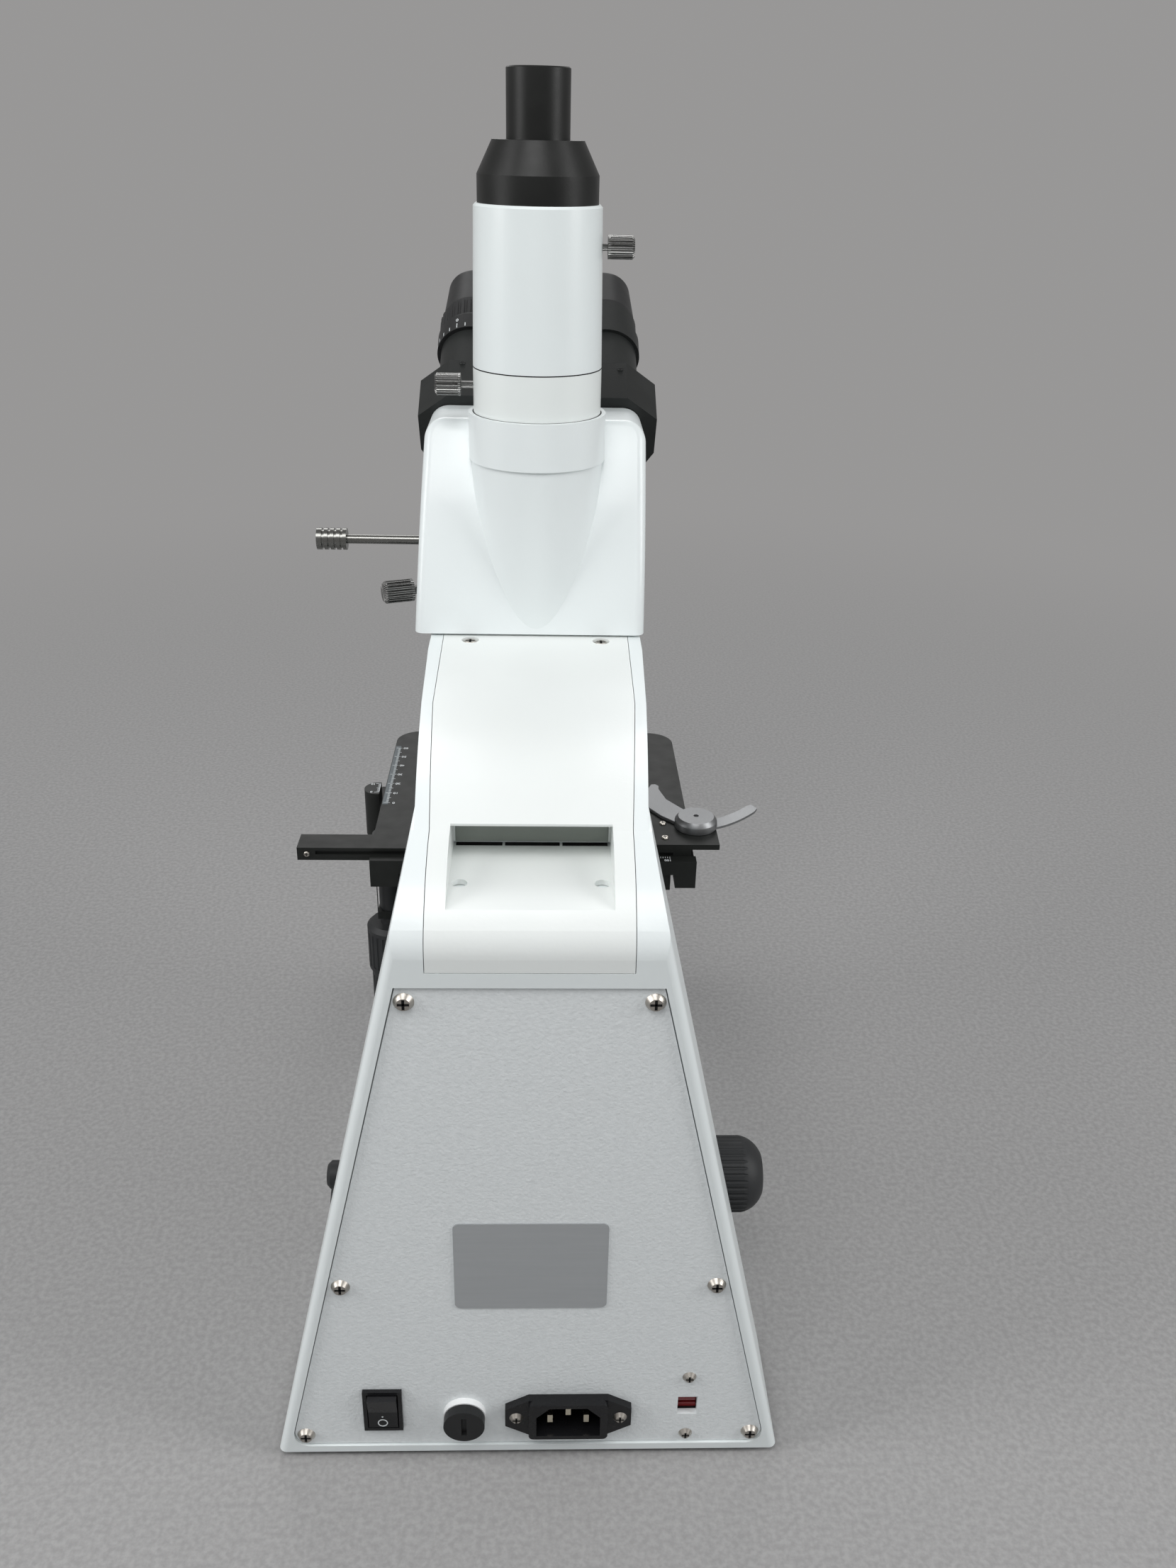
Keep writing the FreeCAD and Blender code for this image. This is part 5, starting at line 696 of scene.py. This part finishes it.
# Slide finger: bevelled disc with a dimple, straight-edged blade and a thumb tab bent upwards
FINGER_FOOT = HOLDER_TOP + 0.2 * MM
FINGER_CENTRE = mm(-72.4, 48, 0)
FINGER_TIP = mm(-56.6, 11, 0)
DISC_PROFILE = (
    (0, -2.7), (2, -2.7), (2, 0), (9.5, 0), (9.5, 2.9), (9.4, 3.2), (8.2, 4.8), (8, 5),
    (1.2, 5), (1.1, 4.1), (0, 3.8),
)
BLADE_OUTLINE = (
    (-78.0, 42.5), (-71.0, 38.6), (-61.0, 24.6), (-58.2, 14.0), (-58.4, 10.6), (-57.0, 9.0), (-55.0, 9.2),
    (-53.4, 13.0), (-52.0, 24.0), (-52.1, 33.0), (-57.2, 41.0), (-66.0, 50.0),
)
TAB_EDGES = (
    (mm(-79.5, 44.6), mm(-90.0, 40.5), mm(-98.6, 34.4)),
    (mm(-79.5, 52.6), mm(-90.5, 49.0), mm(-101.6, 39.6)),
)


def on_curve(points, share):
    """Point of the curve that leaves the first point towards the second and ends at the third."""
    first, middle, last = points
    return first * (1 - share) ** 2 + 2 * middle * share * (1 - share) + last * share ** 2


def add_tab(shape):
    """Adds the thumb tab, which rises towards its narrower end."""
    thick = 1.1 * MM
    steps = 12
    narrowing = 0.14
    rows = []
    for step in range(steps + 1):
        share = step / steps
        rise = FINGER_FOOT + (0.2 + 2.9 * share ** 2) * MM
        first, second = (on_curve(points, share) for points in TAB_EDGES)
        if step == steps:
            first, second = first.lerp(second, narrowing), second.lerp(first, narrowing)
        corners = ((first, rise), (second, rise), (second, rise + thick), (first, rise + thick))
        rows.append([shape.verts.new((at.x, at.y, level)) for at, level in corners])
    faces = [shape.faces.new(rows[0]), shape.faces.new(rows[-1][::-1])]
    for first, second in zip(rows, rows[1:]):
        for side in range(4):
            after = (side + 1) % 4
            faces.append(shape.faces.new((first[side], second[side], second[after], first[after])))
    bmesh.ops.recalc_face_normals(shape, faces=faces)


def finger():
    up = Vector((0, 0, FINGER_FOOT))

    def build(shape):
        add_turned(shape, [(radius * MM, height * MM) for radius, height in DISC_PROFILE], 72)
        bmesh.ops.translate(shape, vec=FINGER_CENTRE + up, verts=shape.verts)
        add_tab(shape)
        outline = [(x * MM, y * MM) for x, y in BLADE_OUTLINE]
        add_prism(shape, outline, FINGER_FOOT, FINGER_FOOT + 1.3 * MM, 0.2 * MM)
        nub = bmesh.ops.create_cone(
            shape, cap_ends=True, segments=32, radius1=1.4 * MM, radius2=1.6 * MM, depth=2.6 * MM,
        )
        bmesh.ops.translate(shape, vec=FINGER_TIP + up - mm(0, 0, 1.1), verts=nub["verts"])
    made = piece("finger_lever", mesh_from("finger_lever", build), "finger", SATIN)
    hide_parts("slide_finger")
    smooth(made, 0.5)


# Eyepieces: glass in the cups, scale on the diopter ring
def tube_place(side, along):
    """Placement on an eyepiece tube's axis: Z points out along the tube."""
    turn = Matrix.Rotation(math.radians(90) - TUBE_TILT, 4, "X")
    return Matrix.Translation(WING_HINGE) @ turn @ Matrix.Translation((side * WING_X, WING_V, along))


def eye_lens(side, body):
    profile = ((0, -0.6), (7.2, -0.6), (7.2, 0.4), (5.5, 1.6), (0, 2.4))

    def build(shape):
        add_turned(shape, [(radius * MM, height * MM) for radius, height in profile], 40)
    name = f"eye_lens_{body}"
    mesh = mesh_from(name, build, tube_place(side, EYE_LENS_SEAT))
    smooth(piece(name, mesh, body, GLASS))


def diopter_scale():
    seat = tube_place(1, DIOPTER_SEAT)
    foot, thick = 0.8 * MM, 0.06 * MM
    half_turn = 0.011

    def ticks(shape):
        for mark in range(-4, 5):
            angle = math.radians(DIOPTER_FRONT + mark * 14)
            end = foot + (2.4 * MM if mark else 3.1 * MM)
            add_band(shape, DIOPTER_RADIUS, foot, end, thick, 1, angle - half_turn, 2 * half_turn)
    piece("diopter_ticks", mesh_from("diopter_ticks", ticks, seat), "diopter", INK)
    turn = Matrix.Rotation(math.radians(DIOPTER_FRONT), 4, "Z")
    stand = Matrix.Rotation(math.radians(90), 4, "Z") @ Matrix.Rotation(math.radians(90), 4, "X")
    place = seat @ turn @ Matrix.Translation((DIOPTER_RADIUS, 0, 6.2 * MM)) @ stand
    number("diopter_zero", "0", 2.8 * MM, place, "diopter", INK)


# Objectives: the standard colour ring of each power
RINGS = {
    "objective_4x": ("red", (0.55, 0.03, 0.03)),
    "objective_10x": ("yellow", (0.75, 0.55, 0.05)),
    "objective_40x": ("blue", (0.05, 0.25, 0.6)),
    "objective_100x": ("white", (0.8, 0.8, 0.8)),
}
RING_LEVEL = 17 * MM
RING_HALF = 0.9 * MM


def mean_point(points):
    return sum(points, Vector()) / len(points)


def objective_axis(mesh):
    """Top centre, direction and largest radius near the ring of an objective, from its own vertices."""
    top_share, tip_share = 0.93, 0.97
    points = [vertex.co for vertex in mesh.vertices]
    lens_end = min(points, key=lambda p: p.z)
    far = max((p - lens_end).length for p in points)
    top = mean_point([p for p in points if (p - lens_end).length > far * top_share])
    near_end = (lens_end - top).length * tip_share
    off_pivot = [p for p in points if (p - NOSEPIECE_PIVOT).length > 20 * MM]
    tip = mean_point([p for p in off_pivot if (p - top).length > near_end])
    axis = (tip - top).normalized()
    level = top + axis * RING_LEVEL
    beside = [p for p in points if abs((p - level).dot(axis)) < 12 * MM]
    reach = max((p - level - axis * (p - level).dot(axis)).length for p in beside)
    return top, axis, reach


def objective_rings():
    for node, (colour, tone) in RINGS.items():
        top, axis, reach = objective_axis(NODES[node].data)

        def build(shape):
            add_band(shape, reach + 0.02 * MM, -RING_HALF, RING_HALF, 0.12 * MM, 56)
        turn = axis.to_track_quat("Z", "Y").to_matrix().to_4x4()
        place = Matrix.Translation(top + axis * RING_LEVEL) @ turn
        name = f"{colour}_ring"
        material = ink(f"{colour}_ink", tone)
        piece(name, mesh_from(name, build, place), "nosepiece", material)


# Surroundings
def camera():
    """The photograph's camera: its place and turn, and its focal length for an image of 1659 by 2212."""
    focal_pixels = 1870
    image_height = 2212
    sensor = 36
    right = Vector((-0.9994, 0.0267, 0.0212))
    down = Vector((-0.0071, 0.4457, -0.8952))
    ahead = Vector((-0.0333, -0.8948, -0.4453))
    data = bpy.data.cameras.new("camera")
    data.sensor_fit = "VERTICAL"
    data.sensor_height = sensor
    data.lens = focal_pixels / image_height * sensor
    data.clip_start = 0.01
    eye = bpy.data.objects.new("camera", data)
    bpy.context.scene.collection.objects.link(eye)
    turn = Matrix((right, -down, -ahead)).transposed().to_4x4()
    eye.matrix_world = Matrix.Translation(mm(-3.938, 573.029, 471.481)) @ turn
    bpy.context.scene.camera = eye


def seen_rays(tree):
    """1 where a camera, glossy or transmitted ray looks, else 0."""
    path = tree.nodes.new("ShaderNodeLightPath")
    total = path.outputs["Is Camera Ray"]
    for kind in ("Is Glossy Ray", "Is Transmission Ray"):
        either = tree.nodes.new("ShaderNodeMath")
        either.operation = "MAXIMUM"
        tree.links.new(total, either.inputs[0])
        tree.links.new(path.outputs[kind], either.inputs[1])
        total = either.outputs[0]
    return total


def floor_finish():
    """Pale grey paper that fades into the background colour between two distances from the object."""
    near, far = 0.35, 1.3
    shader = Shader("floor", 0.95, Specular_IOR_Level=0.1)
    shader.colours(shader.noise(420, 3), (0.29, 0.286, 0.284), (0.35, 0.345, 0.342))
    shader.bump(shader.noise(650, 2), 0.4 * MM, 0.5)
    tree = shader.tree
    apart = tree.nodes.new("ShaderNodeVectorMath")
    apart.operation = "LENGTH"
    shader.link(shader.place.outputs["Object"], apart.inputs[0])
    fade = tree.nodes.new("ShaderNodeMapRange")
    fade.interpolation_type = "SMOOTHSTEP"
    fade.inputs["From Min"].default_value = near
    fade.inputs["From Max"].default_value = far
    shader.link(apart.outputs["Value"], fade.inputs["Value"])
    share = shader.math("MULTIPLY", fade.outputs["Result"], seen_rays(tree))
    plain = tree.nodes.new("ShaderNodeEmission")
    plain.inputs["Color"].default_value = (*BACKGROUND, 1)
    both = tree.nodes.new("ShaderNodeMixShader")
    shader.link(share, both.inputs[0])
    shader.link(shader.main.outputs[0], both.inputs[1])
    shader.link(plain.outputs[0], both.inputs[2])
    shader.link(both.outputs[0], tree.nodes["Material Output"].inputs["Surface"])
    return shader.material


def floor():
    def build(shape):
        bmesh.ops.create_grid(shape, x_segments=1, y_segments=1, size=40)
    mesh = mesh_from("floor", build)
    set_material(mesh, floor_finish())
    ground = bpy.data.objects.new("floor", mesh)
    bpy.context.scene.collection.objects.link(ground)


def lamp(name, place, size, power):
    """A soft rectangular lamp that looks at the middle of the object."""
    middle = Vector((0, 0.08, 0.26))
    data = bpy.data.lights.new(name, "AREA")
    data.shape = "RECTANGLE"
    data.size, data.size_y = size
    data.energy = power
    light = bpy.data.objects.new(name, data)
    light.location = place
    light.rotation_euler = (middle - Vector(place)).to_track_quat("-Z", "Y").to_euler()
    bpy.context.scene.collection.objects.link(light)


def room():
    """A dim sky for the object's light, seen as the plain background colour."""
    world = bpy.data.worlds.new("room")
    bpy.context.scene.world = world
    world.use_nodes = True
    tree = world.node_tree
    sky = tree.nodes["Background"]
    sky.inputs["Color"].default_value = (0.94, 0.97, 1.0, 1)
    sky.inputs["Strength"].default_value = 0.3
    plain = tree.nodes.new("ShaderNodeBackground")
    plain.inputs["Color"].default_value = (*BACKGROUND, 1)
    both = tree.nodes.new("ShaderNodeMixShader")
    tree.links.new(seen_rays(tree), both.inputs[0])
    tree.links.new(sky.outputs[0], both.inputs[1])
    tree.links.new(plain.outputs[0], both.inputs[2])
    tree.links.new(both.outputs[0], tree.nodes["World Output"].inputs["Surface"])


camera()
dress_nodes()
dress_knurled_screws()
rating_plate()
pocket_back()
pocket_slit()
tube_seam()
rocker_marks()
screw_crosses()
stage_scale()
vernier_scale()
bar_scale()
holder_screws()
bar_screw()
finger()
collar_gap()
eye_lens(1, "right_eyepiece")
eye_lens(-1, "left_eyepiece")
diopter_scale()
wing_screws()
objective_rings()
floor()
lamp("key_light", (0.12, 0.66, 1.12), (0.6, 0.45), 4.7)
lamp("left_light", (1.35, 0.5, 0.95), (0.6, 1.2), 12)
lamp("right_light", (-1.35, 0.5, 0.95), (0.6, 1.2), 12)
lamp("front_light", (0.1, -1.5, 1.4), (1.2, 0.8), 9)
room()
bpy.context.scene.view_settings.view_transform = "Standard"
